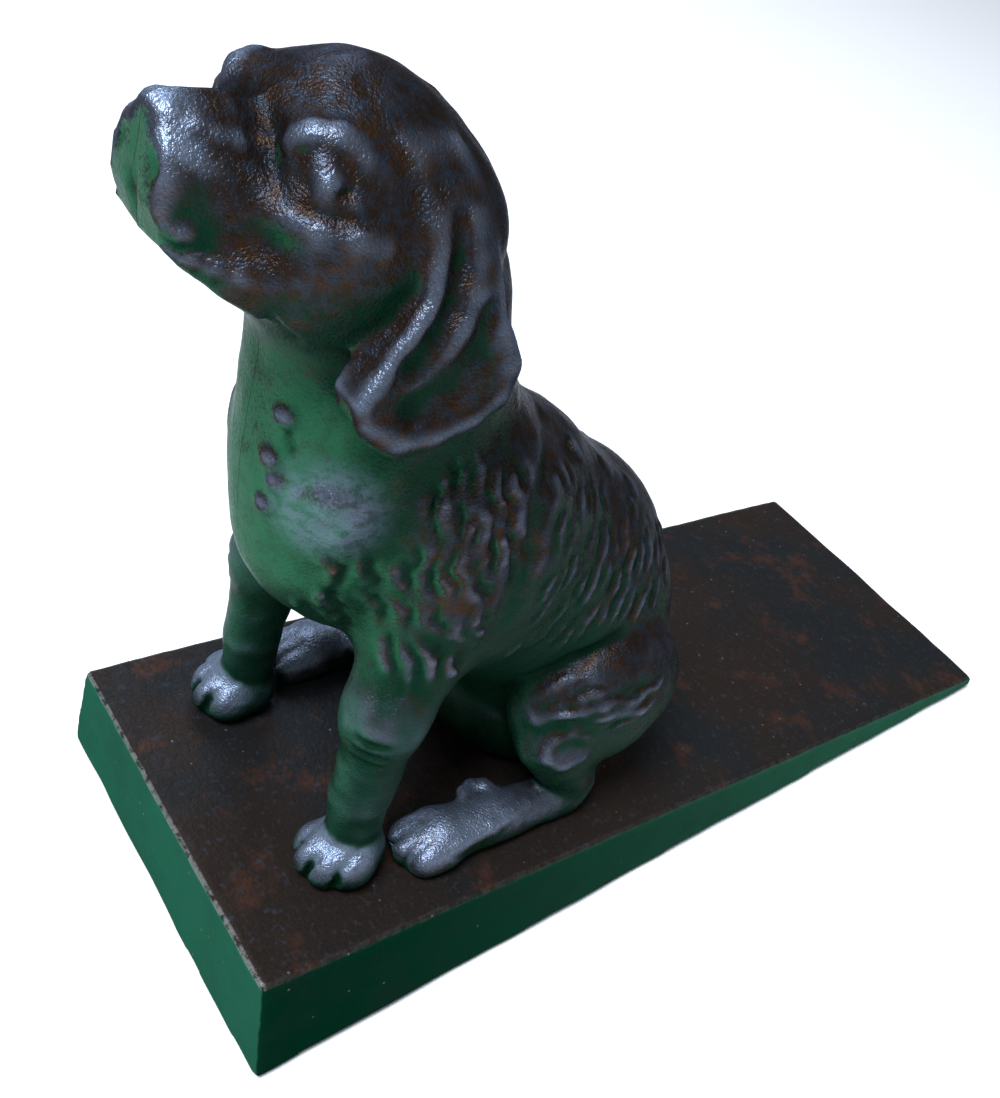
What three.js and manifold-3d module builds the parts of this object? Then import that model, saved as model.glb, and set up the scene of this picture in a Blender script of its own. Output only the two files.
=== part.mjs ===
// A cast-iron door wedge with a seated hound on it, as separate castings and fasteners.
// Millimetres. +Z is up, -Y is the way the hound faces, +X is its left side. The origin is the
// centre of the rubber sole's underside, on the floor.
import * as THREE from "three";
import { mergeVertices } from "three/addons/utils/BufferGeometryUtils.js";
import Module from "manifold-3d";

const wasm = await Module();
wasm.setup();

// ---- driving dimensions -------------------------------------------------------------------

// The wedge: the outline of its flat top, its two heights and the draft of its sides.
const WEDGE_LENGTH = 150;
const WEDGE_WIDTH = 55.5;
const THICK_END = 18;
const THIN_END = 2.5;
const SIDE_DRAFT = 0.15;
const END_DRAFT = 0.05;
const EDGE_BEVEL = { down: 0.5, in: 0.4 };

// The rubber sole sits in a shallow recess and carries the whole weight.
const SOLE_THICKNESS = 1.4;
const SOLE_PROUD = 0.5;
const SOLE_MARGIN = 3.5;
const SOLE_CORNER = 3;

// Gaps between neighbours.
const TOUCH = 0.3;
const SHANK_CLEARANCE = 0.35;
const HEAD_CLEARANCE = 0.5;
const POCKET_SPARE = 0.8;

// The hound is two hollow castings that meet on its middle plane.
const STAND_Y = -40;
const WALL = 4;
const BOSS_WALL = 2.6;

// The cross screw joins the halves, with its head in the right flank.
const CROSS_SHANK = 1.9;
const CROSS_HEAD = 3.4;
const CROSS_HEAD_HEIGHT = 2.2;
const CROSS_AT = { back: 1, up: 42 };
const CROSS_HEAD_INSET = 0.6;
const CROSS_REACH = 11;

// The base screws come up through the wedge into a boss in each half's rump.
const BASE_SHANK = 2;
const BASE_HEAD = 3.6;
const BASE_HEAD_HEIGHT = 2.2;
const BASE_SCREW_X = 7.5;
const BASE_SCREW_BACK = 24;
const BASE_REACH = 11;
const WASHER_RADIUS = 4.4;
const WASHER_THICKNESS = 0.8;
const SLOT_WIDTH = 0.9;
const SLOT_DEPTH = 1;

// Locating pegs, cast on the left half, seat in sockets in the right half.
const PEG_RADIUS = 1.5;
const PEG_LENGTH = 2.5;

// How finely round forms are divided.
const BODY_FACETS = 20;
const FINE_FACETS = 14;
const LIMB_FACETS = 12;
const RINGS_PER_FACET = 0.65;
const BAR_FACETS = 24;

// A cut or a join reaches this far past the face where it starts, and FAR is past everything.
const PAST = 1;
const FAR = 200;
const SIDES = [1, -1];

// ---- solids from three.js geometry ----------------------------------------------------------

function solidOf(geometry) {
  const plain = geometry.clone();
  plain.deleteAttribute("normal");
  plain.deleteAttribute("uv");
  const merged = mergeVertices(plain, 1e-4);
  const corners = merged.index.array;
  const faces = [];
  for (let i = 0; i < corners.length; i += 3) {
    const [a, b, c] = [corners[i], corners[i + 1], corners[i + 2]];
    if (a !== b && b !== c && c !== a) faces.push(a, b, c);
  }
  return new wasm.Manifold(
    new wasm.Mesh({
      numProp: 3,
      vertProperties: merged.attributes.position.array,
      triVerts: new Uint32Array(faces),
    }),
  );
}

function geometryOf(solid) {
  const mesh = solid.getMesh();
  const geometry = new THREE.BufferGeometry();
  geometry.setAttribute("position", new THREE.BufferAttribute(mesh.vertProperties, 3));
  geometry.setIndex(new THREE.BufferAttribute(mesh.triVerts, 1));
  const loose = geometry.toNonIndexed();
  loose.computeVertexNormals();
  return loose;
}

const joined = (solids) => solids.reduce((all, next) => all.add(next));

// An ellipsoid: `at` its centre and `radii` its half sizes in x, back and up; `lean` turns its
// front up about the x axis, in degrees.
function lobe({ at, radii, lean = 0, facets = FINE_FACETS }) {
  const ball = new THREE.SphereGeometry(1, facets, Math.round(facets * RINGS_PER_FACET));
  ball.scale(...radii);
  ball.rotateX(-THREE.MathUtils.degToRad(lean));
  ball.translate(...at);
  return solidOf(ball);
}

// A round-ended taper from one ball to another.
function limb({ from, to, start, end, facets = LIMB_FACETS, capSteps = 3 }) {
  const foot = new THREE.Vector3(...from);
  const along = new THREE.Vector3(...to).sub(foot);
  const length = along.length();
  const profile = [];
  for (let i = 0; i <= capSteps; i += 1) {
    const angle = -Math.PI / 2 + (i / capSteps) * (Math.PI / 2);
    profile.push(new THREE.Vector2(start * Math.cos(angle), start * Math.sin(angle)));
  }
  for (let i = 0; i <= capSteps; i += 1) {
    const angle = (i / capSteps) * (Math.PI / 2);
    profile.push(new THREE.Vector2(end * Math.cos(angle), length + end * Math.sin(angle)));
  }
  profile[0].x = 0;
  profile[profile.length - 1].x = 0;
  const taper = new THREE.LatheGeometry(profile, facets);
  const turn = new THREE.Quaternion().setFromUnitVectors(
    new THREE.Vector3(0, 1, 0),
    along.normalize(),
  );
  taper.applyQuaternion(turn);
  taper.translate(foot.x, foot.y, foot.z);
  return solidOf(taper);
}

// A round bar along x or z between two stations; `at` gives its other two coordinates.
function barGeometry({ axis, from, to, radius, at }) {
  const body = new THREE.CylinderGeometry(radius, radius, to - from, BAR_FACETS);
  const middle = (from + to) / 2;
  if (axis === "x") {
    body.rotateZ(-Math.PI / 2);
    body.translate(middle, at[0], at[1]);
  } else {
    body.rotateX(Math.PI / 2);
    body.translate(at[0], at[1], middle);
  }
  return body;
}

const bar = (options) => solidOf(barGeometry(options));

function block(low, high) {
  const size = high.map((value, i) => value - low[i]);
  const box = new THREE.BoxGeometry(...size);
  box.translate(...low.map((value, i) => value + size[i] / 2));
  return solidOf(box);
}

// ---- the wedge and its sole -------------------------------------------------------------------

const wedgeSlope = (THICK_END - THIN_END) / WEDGE_LENGTH;
const tilt = Math.atan(wedgeSlope);
const topAt = (y) => THIN_END + wedgeSlope * (WEDGE_LENGTH / 2 - y);
const ironBottom = SOLE_PROUD;

// The hound's own frame stands on the wedge's top face at STAND_Y: x to the left, `back` along
// the face towards the rump, and `up` square to the face.
const figureFrame = new THREE.Matrix4()
  .makeTranslation(0, STAND_Y, topAt(STAND_Y))
  .multiply(new THREE.Matrix4().makeRotationX(-tilt));

const shankHole = (shank) => shank + SHANK_CLEARANCE;
const bossRadius = (shank) => shankHole(shank) + BOSS_WALL;

const baseScrewAt = (side) => [side * BASE_SCREW_X, BASE_SCREW_BACK];

// The screws' pocket is drilled square to the top face, from the sole's recess upwards.
const ironUnderFigure =
  (topAt(STAND_Y + BASE_SCREW_BACK * Math.cos(tilt)) - SOLE_THICKNESS - TOUCH) * Math.cos(tilt);
const seatUp =
  BASE_HEAD_HEIGHT + WASHER_THICKNESS + 2 * TOUCH + POCKET_SPARE - ironUnderFigure;
const washerTop = seatUp - TOUCH;
const baseHeadTop = washerTop - WASHER_THICKNESS - TOUCH;

// A hull-like slab from two four-cornered outlines, the lower and the upper one.
function slab(lower, upper) {
  const points = [...lower, ...upper];
  const position = new Float32Array(points.flat());
  const quads = [
    [3, 2, 1, 0],
    [4, 5, 6, 7],
    [0, 1, 5, 4],
    [1, 2, 6, 5],
    [2, 3, 7, 6],
    [3, 0, 4, 7],
  ];
  const index = quads.flatMap(([a, b, c, d]) => [a, b, c, a, c, d]);
  const geometry = new THREE.BufferGeometry();
  geometry.setAttribute("position", new THREE.BufferAttribute(position, 3));
  geometry.setIndex(index);
  return solidOf(geometry);
}

// The wedge's outline `down` below its top and `inset` inside its drafted faces.
function wedgeOutline(depthAt, inset) {
  const corner = (side, end) => {
    const y = (end * WEDGE_LENGTH) / 2;
    const depth = depthAt(y);
    return [
      side * (WEDGE_WIDTH / 2 + SIDE_DRAFT * depth - inset),
      y + end * (END_DRAFT * depth - inset),
      topAt(y) - depth,
    ];
  };
  return [corner(-1, -1), corner(1, -1), corner(1, 1), corner(-1, 1)];
}

function wedgeBase() {
  const rim = wedgeOutline(() => EDGE_BEVEL.down, 0);
  const body = slab(wedgeOutline((y) => topAt(y) - ironBottom, 0), rim);
  const shoulder = slab(rim, wedgeOutline(() => 0, EDGE_BEVEL.in));
  const drilled = SIDES.map((side) =>
    joined(
      [
        { from: -FAR, to: seatUp, radius: WASHER_RADIUS + HEAD_CLEARANCE },
        { from: -FAR, to: FAR, radius: shankHole(BASE_SHANK) },
      ].map((hole) => {
        const geometry = barGeometry({ axis: "z", at: baseScrewAt(side), ...hole });
        return solidOf(geometry.applyMatrix4(figureFrame));
      }),
    ),
  );
  return body.add(shoulder).subtract(soleRecess()).subtract(joined(drilled));
}

const soleHalfWidth = WEDGE_WIDTH / 2 - SOLE_MARGIN;
const soleHalfLength = WEDGE_LENGTH / 2 - SOLE_MARGIN;

function soleSheet(grow, bottom, top) {
  const [w, l] = [soleHalfWidth + grow, soleHalfLength + grow];
  const corner = SOLE_CORNER + grow;
  const outline = new THREE.Shape();
  outline.moveTo(-w + corner, -l);
  outline.lineTo(w - corner, -l);
  outline.absarc(w - corner, -l + corner, corner, -Math.PI / 2, 0, false);
  outline.lineTo(w, l - corner);
  outline.absarc(w - corner, l - corner, corner, 0, Math.PI / 2, false);
  outline.lineTo(-w + corner, l);
  outline.absarc(-w + corner, l - corner, corner, Math.PI / 2, Math.PI, false);
  outline.lineTo(-w, -l + corner);
  outline.absarc(-w + corner, -l + corner, corner, Math.PI, 1.5 * Math.PI, false);
  const sheet = new THREE.ExtrudeGeometry(outline, {
    depth: top - bottom,
    bevelEnabled: false,
    curveSegments: 5,
  });
  sheet.translate(0, 0, bottom);
  return solidOf(sheet);
}

const solePad = () => soleSheet(0, 0, SOLE_THICKNESS);
const soleRecess = () => soleSheet(TOUCH, -PAST, SOLE_THICKNESS + TOUCH);

// ---- the hound --------------------------------------------------------------------------------

// Every lobe is [x, back, up] in the hound's own frame.

const MIDDLE_LOBES = [
  { name: "chest", at: [0, -15.6, 52], radii: [13.8, 18.2, 19], facets: BODY_FACETS },
  { name: "ribs", at: [0, -1, 42.2], radii: [16, 21.5, 18.8], lean: 38, facets: BODY_FACETS },
  { name: "loin", at: [0, 14.6, 32.2], radii: [16.3, 20.6, 18.4], lean: 42, facets: BODY_FACETS },
  { name: "rump", at: [0, 24.5, 19], radii: [17.3, 15.8, 20], facets: BODY_FACETS },
  { name: "seat", at: [0, 23, 8], radii: [15, 17, 13], facets: BODY_FACETS },
  { name: "skull", at: [0, -28.5, 86.6], radii: [12.3, 13.8, 13.4], facets: BODY_FACETS },
];
const MIDDLE_LIMBS = [
  { name: "neck", from: [0, -15.5, 57], to: [0, -21, 77], start: 13.2, end: 12, facets: 18 },
  { name: "throat", from: [0, -22, 60], to: [0, -24.5, 75], start: 12, end: 10.3, facets: 16 },
  { name: "muzzle", from: [0, -33, 85], to: [0, -42, 88], start: 9.5, end: 7.6, facets: 16 },
  { name: "nose", from: [0, -39, 91.5], to: [0, -45.3, 92.6], start: 3.6, end: 4 },
];
const SIDE_LOBES = [
  { name: "shoulder", at: [9.6, -7.5, 46], radii: [8, 12.3, 17] },
  { name: "brow", at: [5.4, -34.8, 92.4], radii: [5.2, 5, 4.9] },
  { name: "cheek", at: [7.4, -33, 86], radii: [6, 8, 8] },
  { name: "ear_flap", at: [14.2, -25.2, 78.5], radii: [3.4, 8.2, 8.8] },
  { name: "thigh", at: [14.3, 20.8, 18.2], radii: [8.6, 14, 13], lean: 10 },
  { name: "front_paw", at: [15.4, -17.6, 3.2], radii: [5, 6, 4.6] },
  { name: "hind_toes", at: [18.6, -5.5, 2.4], radii: [5.2, 4.6, 3.7] },
];
const SIDE_LIMBS = [
  { name: "upper_arm", from: [10.2, -11.5, 42], to: [14.6, -17.3, 28], start: 7.2, end: 4.9 },
  { name: "forearm", from: [14.6, -17.3, 29], to: [15.1, -16.8, 6], start: 4.8, end: 3.5 },
  { name: "flews", from: [4.2, -44, 87], to: [5, -37, 82.5], start: 4, end: 5.4 },
  { name: "ear_root", from: [12, -27, 93], to: [14, -26, 84], start: 3.2, end: 4.6 },
  { name: "shank", from: [17.5, 12, 14], to: [18.5, 18.5, 5], start: 5, end: 3.6 },
  { name: "hind_foot", from: [18.5, -4, 2.4], to: [19.3, 17, 2.2], start: 3.9, end: 3.2 },
];

const LOCATING_PEGS = [
  { back: -42.5, up: 88.5 },
  { back: 36, up: 17 },
];
const HOLLOW_LOBES = ["chest", "ribs", "loin", "rump", "seat", "skull"];
const HOLLOW_LIMBS = ["neck"];

// The same lobe or limb on the left (side 1) or the right (side -1).
function sided(item, side) {
  const flip = (point) => point && [side * point[0], point[1], point[2]];
  return { ...item, at: flip(item.at), from: flip(item.from), to: flip(item.to) };
}

// The same lobe or limb with its surface taken in by the wall.
function shrunk(item) {
  const { radii, start, end } = item;
  return {
    ...item,
    radii: radii && radii.map((radius) => radius - WALL),
    start: start && start - WALL,
    end: end && end - WALL,
    facets: radii ? FINE_FACETS : LIMB_FACETS,
  };
}

function hollow() {
  const lobes = MIDDLE_LOBES.filter(({ name }) => HOLLOW_LOBES.includes(name));
  const limbs = MIDDLE_LIMBS.filter(({ name }) => HOLLOW_LIMBS.includes(name));
  const room = joined([
    ...lobes.map((item) => lobe(shrunk(item))),
    ...limbs.map((item) => limb(shrunk(item))),
  ]);
  return room.intersect(block([-FAR, -FAR, TOUCH + WALL], [FAR, FAR, FAR]));
}

function outerHalf(side) {
  const body = joined([
    ...MIDDLE_LOBES.map(lobe),
    ...MIDDLE_LIMBS.map(limb),
    ...SIDE_LOBES.map((item) => lobe(sided(item, side))),
    ...SIDE_LIMBS.map((item) => limb(sided(item, side))),
  ]);
  const low = [side > 0 ? TOUCH / 2 : -FAR, -FAR, TOUCH];
  const high = [side > 0 ? FAR : -TOUCH / 2, FAR, FAR];
  return body.intersect(block(low, high));
}

const flank = MIDDLE_LOBES.find(({ name }) => name === "ribs").radii[0];
const crossAt = [CROSS_AT.back, CROSS_AT.up];
const crossHeadOut = -flank + CROSS_HEAD_INSET;
const crossHeadIn = crossHeadOut + CROSS_HEAD_HEIGHT;

function figureHalf(side) {
  const outer = outerHalf(side);
  const across = (radius, at) =>
    solidOf(barGeometry({ axis: "x", from: -flank, to: flank, radius, at }));
  const pegAt = ({ back, up }) => [back, up];
  const bosses = joined([
    across(bossRadius(CROSS_SHANK), crossAt),
    ...LOCATING_PEGS.map((peg) => across(PEG_RADIUS + TOUCH + BOSS_WALL / 2, pegAt(peg))),
    solidOf(
      barGeometry({
        axis: "z",
        from: TOUCH,
        to: BASE_REACH + BOSS_WALL,
        radius: bossRadius(BASE_SHANK),
        at: baseScrewAt(side),
      }),
    ),
  ]);
  const shell = outer.subtract(hollow()).add(bosses.intersect(outer));

  const baseHole = bar({
    axis: "z",
    from: -PAST,
    to: BASE_REACH + TOUCH,
    radius: shankHole(BASE_SHANK),
    at: baseScrewAt(side),
  });
  const crossHole = bar({
    axis: "x",
    from: -FAR,
    to: CROSS_REACH + TOUCH,
    radius: shankHole(CROSS_SHANK),
    at: crossAt,
  });
  const drilled = shell.subtract(baseHole).subtract(crossHole);
  if (side > 0) {
    const pegs = LOCATING_PEGS.map((peg) =>
      bar({ axis: "x", from: -PEG_LENGTH, to: PEG_LENGTH, radius: PEG_RADIUS, at: pegAt(peg) }),
    );
    return drilled.add(joined(pegs));
  }
  const counterbore = bar({
    axis: "x",
    from: -FAR,
    to: crossHeadIn + TOUCH,
    radius: CROSS_HEAD + HEAD_CLEARANCE,
    at: crossAt,
  });
  const sockets = LOCATING_PEGS.map((peg) =>
    bar({
      axis: "x",
      from: -PEG_LENGTH - TOUCH,
      to: PAST,
      radius: PEG_RADIUS + TOUCH,
      at: pegAt(peg),
    }),
  );
  return drilled.subtract(counterbore).subtract(joined(sockets));
}

// ---- fasteners ----------------------------------------------------------------------------------

function crossScrew() {
  const head = bar({
    axis: "x",
    from: crossHeadOut,
    to: crossHeadIn,
    radius: CROSS_HEAD,
    at: crossAt,
  });
  const shank = bar({
    axis: "x",
    from: crossHeadIn - PAST,
    to: CROSS_REACH,
    radius: CROSS_SHANK,
    at: crossAt,
  });
  const slot = block(
    [crossHeadOut - PAST, CROSS_AT.back - 2 * CROSS_HEAD, CROSS_AT.up - SLOT_WIDTH / 2],
    [crossHeadOut + SLOT_DEPTH, CROSS_AT.back + 2 * CROSS_HEAD, CROSS_AT.up + SLOT_WIDTH / 2],
  );
  return head.add(shank).subtract(slot);
}

function baseScrew(side) {
  const at = baseScrewAt(side);
  const bottom = baseHeadTop - BASE_HEAD_HEIGHT;
  const head = bar({ axis: "z", from: bottom, to: baseHeadTop, radius: BASE_HEAD, at });
  const shank = bar({ axis: "z", from: baseHeadTop - PAST, to: BASE_REACH, radius: BASE_SHANK, at });
  const slot = block(
    [at[0] - SLOT_WIDTH / 2, at[1] - 2 * BASE_HEAD, bottom - PAST],
    [at[0] + SLOT_WIDTH / 2, at[1] + 2 * BASE_HEAD, bottom + SLOT_DEPTH],
  );
  return head.add(shank).subtract(slot);
}

function baseWasher(side) {
  const at = baseScrewAt(side);
  const [from, to] = [washerTop - WASHER_THICKNESS, washerTop];
  const disc = bar({ axis: "z", from, to, radius: WASHER_RADIUS, at });
  return disc.subtract(
    bar({ axis: "z", from: from - PAST, to: to + PAST, radius: shankHole(BASE_SHANK), at }),
  );
}

// ---- the assembly -------------------------------------------------------------------------------

const IRON = { color: 0x3a2f29, roughness: 0.55, metalness: 0.7 };
const WEDGE_IRON = { color: 0x33251f, roughness: 0.6, metalness: 0.6 };
const SCREW_STEEL = { color: 0x6d6a66, roughness: 0.45, metalness: 0.9 };
const RUBBER = { color: 0x1b1b1c, roughness: 0.9, metalness: 0 };

function node(name, solid, finish) {
  const mesh = new THREE.Mesh(geometryOf(solid), new THREE.MeshStandardMaterial(finish));
  mesh.name = name;
  return mesh;
}

const doorstop = new THREE.Group();
doorstop.add(node("wedge_base", wedgeBase(), WEDGE_IRON));
doorstop.add(node("sole_pad", solePad(), RUBBER));

const figure = new THREE.Group();
figure.position.set(0, STAND_Y, topAt(STAND_Y));
figure.rotation.x = -tilt;
figure.add(node("cross_screw", crossScrew(), SCREW_STEEL));
for (const side of SIDES) {
  const hand = side > 0 ? "left" : "right";
  figure.add(node(`figure_${hand}`, figureHalf(side), IRON));
  figure.add(node(`base_screw_${hand}`, baseScrew(side), SCREW_STEEL));
  figure.add(node(`base_washer_${hand}`, baseWasher(side), SCREW_STEEL));
}
doorstop.add(figure);

export default doorstop;
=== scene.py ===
"""A cast-iron door wedge with a seated hound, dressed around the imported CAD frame.

The hound is sculpted in a grid of signed distances, half by half, the way a pattern maker builds
up a pattern in wax: big forms first, then ridges, folds, toes and fur cut with a small gouge.
"""

import functools
import logging
import math
from dataclasses import dataclass
from enum import Enum
from typing import Optional, Sequence

import bmesh
import bpy
import numpy as np
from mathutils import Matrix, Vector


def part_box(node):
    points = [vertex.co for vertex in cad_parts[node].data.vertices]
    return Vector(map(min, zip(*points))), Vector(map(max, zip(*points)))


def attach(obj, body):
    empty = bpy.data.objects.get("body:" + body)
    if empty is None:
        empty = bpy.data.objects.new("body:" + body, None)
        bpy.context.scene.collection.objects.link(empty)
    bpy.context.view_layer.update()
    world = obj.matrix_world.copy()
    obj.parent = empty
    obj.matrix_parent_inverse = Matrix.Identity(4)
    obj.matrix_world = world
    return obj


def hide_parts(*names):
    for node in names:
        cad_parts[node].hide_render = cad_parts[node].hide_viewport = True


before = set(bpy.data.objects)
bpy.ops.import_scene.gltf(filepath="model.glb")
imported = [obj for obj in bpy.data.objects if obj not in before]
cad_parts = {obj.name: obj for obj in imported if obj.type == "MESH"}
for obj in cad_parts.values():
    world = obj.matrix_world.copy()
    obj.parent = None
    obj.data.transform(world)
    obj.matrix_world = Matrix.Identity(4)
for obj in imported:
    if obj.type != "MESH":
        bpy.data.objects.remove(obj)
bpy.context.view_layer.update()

import openvdb
from mathutils import Matrix, Vector

MM = 0.001
LOG = logging.getLogger("doorstop")
logging.basicConfig(level=logging.INFO, format="%(name)s: %(message)s")

Point = tuple[float, float, float]
Band = tuple[float, float]
Arrays = tuple[np.ndarray, np.ndarray, np.ndarray]

# The base screws stand this far to each side of the middle and behind the hound's own origin,
# in holes of this radius. Touching castings keep the gap TOUCH. A machined edge is blended by
# CRISP. A bar reaches past the middle plane, the flank or the foot. All in millimetres.
BASE_SCREW_AT = (7.5, 24.0)
BASE_SCREW_HOLE = 2.35
TOUCH = 0.3
CRISP = 0.1
PAST_MIDDLE = -4.0
PAST_FLANK = 30.0
PAST_FOOT = -3.0


# ---- sculpting ------------------------------------------------------------------------------


def soft_min(a: np.ndarray, b: np.ndarray, blend: float) -> np.ndarray:
    """Joins two distance fields with a fillet.

    Args:
        a: The first field.
        b: The second field.
        blend: The width of the fillet, in the fields' units.

    Returns:
        The joined field.
    """
    reach = np.maximum(blend - np.abs(a - b), 0.0)
    return np.minimum(a, b) - reach * reach / (4.0 * blend)


class Form:
    """A shape that can be added to the clay or cut out of it."""

    def bounds(self) -> tuple[np.ndarray, np.ndarray]:
        """Gives the lowest and highest corners of the shape."""
        raise NotImplementedError

    def distance(self, x: np.ndarray, v: np.ndarray, w: np.ndarray) -> np.ndarray:
        """Gives the signed distance from points to the surface, negative inside."""
        raise NotImplementedError


@dataclass(frozen=True)
class Ball(Form):
    """An ellipsoid.

    Args:
        at: Its centre.
        radii: Its half sizes.
        lean: Degrees that its front is turned up about the x axis.
    """

    at: Point
    radii: Point
    lean: float = 0.0

    def turn(self) -> np.ndarray:
        """Gives the rotation from the ball's own axes to the clay's."""
        return np.array(Matrix.Rotation(math.radians(-self.lean), 3, "X"))

    def bounds(self) -> tuple[np.ndarray, np.ndarray]:
        """Gives the corners of the ellipsoid's own box."""
        half = np.sqrt(((self.turn() * np.array(self.radii)) ** 2).sum(axis=1))
        return np.array(self.at) - half, np.array(self.at) + half

    def distance(self, x: np.ndarray, v: np.ndarray, w: np.ndarray) -> np.ndarray:
        """Gives the distance, exact on the surface and close near it."""
        turn = self.turn()
        place = (x - self.at[0], v - self.at[1], w - self.at[2])
        near = far = 0.0
        for column, radius in zip(turn.T.astype(np.float32), self.radii):
            own = (place[0] * column[0] + place[1] * column[1] + place[2] * column[2]) / radius
            near = near + own * own
            far = far + (own / radius) ** 2
        near, far = np.sqrt(near), np.sqrt(far)
        return near * (near - 1.0) / np.maximum(far, 1e-6)


@dataclass(frozen=True)
class Taper(Form):
    """A round-ended taper between two balls."""

    start: Point
    end: Point
    start_radius: float
    end_radius: float

    def bounds(self) -> tuple[np.ndarray, np.ndarray]:
        """Gives the corners of the taper's box."""
        a, b = np.array(self.start), np.array(self.end)
        return (
            np.minimum(a - self.start_radius, b - self.end_radius),
            np.maximum(a + self.start_radius, b + self.end_radius),
        )

    def distance(self, x: np.ndarray, v: np.ndarray, w: np.ndarray) -> np.ndarray:
        """Gives the distance to the taper's axis, less its radius there."""
        along = np.array(self.end) - np.array(self.start)
        place = (x - self.start[0], v - self.start[1], w - self.start[2])
        share = (place[0] * along[0] + place[1] * along[1] + place[2] * along[2]) / (along @ along)
        share = np.clip(share, 0.0, 1.0).astype(np.float32)
        gap = [p - share * a for p, a in zip(place, along)]
        radius = self.start_radius + share * (self.end_radius - self.start_radius)
        return np.sqrt(gap[0] ** 2 + gap[1] ** 2 + gap[2] ** 2) - radius


@dataclass(frozen=True)
class Rope(Form):
    """A bead along a line of points, with its own radius at each."""

    points: Sequence[Point]
    radii: Sequence[float]
    fillet: float = 0.6

    def tapers(self) -> list[Taper]:
        """Gives the stretches between the points."""
        stops = list(zip(self.points, self.radii))
        return [Taper(a, b, ra, rb) for (a, ra), (b, rb) in zip(stops, stops[1:])]

    def bounds(self) -> tuple[np.ndarray, np.ndarray]:
        """Gives the corners of the box around all the stretches."""
        boxes = [taper.bounds() for taper in self.tapers()]
        return np.min([b[0] for b in boxes], axis=0), np.max([b[1] for b in boxes], axis=0)

    def distance(self, x: np.ndarray, v: np.ndarray, w: np.ndarray) -> np.ndarray:
        """Gives the distance to the nearest stretch, smoothed where they meet."""
        whole = None
        for taper in self.tapers():
            part = taper.distance(x, v, w)
            whole = part if whole is None else soft_min(whole, part, self.fillet)
        return whole


@dataclass(frozen=True)
class Plank(Form):
    """A side-view outline given a width: a rounded slab square to x.

    Args:
        outline: The corners in (back, up), in order.
        middle: The x of the slab's middle.
        half_width: Half its width at `pivot`.
        rounding: The radius of its edges.
        flare: How much the half width grows for each millimetre back and up from `pivot`.
        pivot: Where half_width is measured.
        bow: How fast the slab's middle draws inwards above `pivot`, as a share of the height
            squared.
    """

    outline: Sequence[tuple[float, float]]
    middle: float
    half_width: float
    rounding: float
    flare: tuple[float, float] = (0.0, 0.0)
    pivot: tuple[float, float] = (0.0, 0.0)
    bow: float = 0.0

    def bounds(self) -> tuple[np.ndarray, np.ndarray]:
        """Gives the corners of the slab's box."""
        corners = np.array(self.outline)
        wide = max(
            self.half_width + np.dot(np.array(corner) - self.pivot, self.flare)
            for corner in corners
        )
        drawn = self.bow * max(corners[:, 1].max() - self.pivot[1], 0.0) ** 2
        low = (self.middle - wide - drawn, *corners.min(axis=0))
        high = (self.middle + wide, *corners.max(axis=0))
        return np.array(low), np.array(high)

    def distance(self, x: np.ndarray, v: np.ndarray, w: np.ndarray) -> np.ndarray:
        """Gives the distance to the rounded slab."""
        corners = np.array(self.outline, dtype=np.float32)
        flat = np.full(np.broadcast(v, w).shape, 1e9, dtype=np.float32)
        inside = np.zeros(flat.shape, dtype=bool)
        for a, b in zip(corners, np.roll(corners, -1, axis=0)):
            edge = b - a
            share = ((v - a[0]) * edge[0] + (w - a[1]) * edge[1]) / (edge @ edge)
            share = np.clip(share, 0.0, 1.0)
            gap = (v - a[0] - share * edge[0]) ** 2 + (w - a[1] - share * edge[1]) ** 2
            flat = np.minimum(flat, gap)
            if a[1] != b[1]:
                crosses = (a[1] > w) != (b[1] > w)
                inside ^= crosses & (v < (b[0] - a[0]) * (w - a[1]) / (b[1] - a[1]) + a[0])
        flat = np.sqrt(flat) * np.where(inside, -1.0, 1.0) + self.rounding
        wide = self.half_width - self.rounding
        wide = wide + (v - self.pivot[0]) * self.flare[0] + (w - self.pivot[1]) * self.flare[1]
        middle = self.middle - self.bow * np.maximum(w - self.pivot[1], 0.0) ** 2
        side = np.abs(x - middle) - wide
        both = np.sqrt(np.maximum(flat, 0.0) ** 2 + np.maximum(side, 0.0) ** 2)
        return both + np.minimum(np.maximum(flat, side), 0.0) - self.rounding


@dataclass(frozen=True)
class Rod(Form):
    """A round bar with flat ends, for holes, bosses and pegs."""

    start: Point
    end: Point
    radius: float

    def bounds(self) -> tuple[np.ndarray, np.ndarray]:
        """Gives the corners of a box around the bar."""
        ends = np.array([self.start, self.end])
        return ends.min(axis=0) - self.radius, ends.max(axis=0) + self.radius

    def distance(self, x: np.ndarray, v: np.ndarray, w: np.ndarray) -> np.ndarray:
        """Gives the distance to the bar's round wall or its ends."""
        along = np.array(self.end) - np.array(self.start)
        length = float(np.sqrt(along @ along))
        along = along / length
        place = (x - self.start[0], v - self.start[1], w - self.start[2])
        run = place[0] * along[0] + place[1] * along[1] + place[2] * along[2]
        gap = [p - run * a for p, a in zip(place, along)]
        wall = np.sqrt(gap[0] ** 2 + gap[1] ** 2 + gap[2] ** 2) - self.radius
        return np.maximum(wall, np.maximum(-run, run - length)).astype(np.float32)


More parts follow.
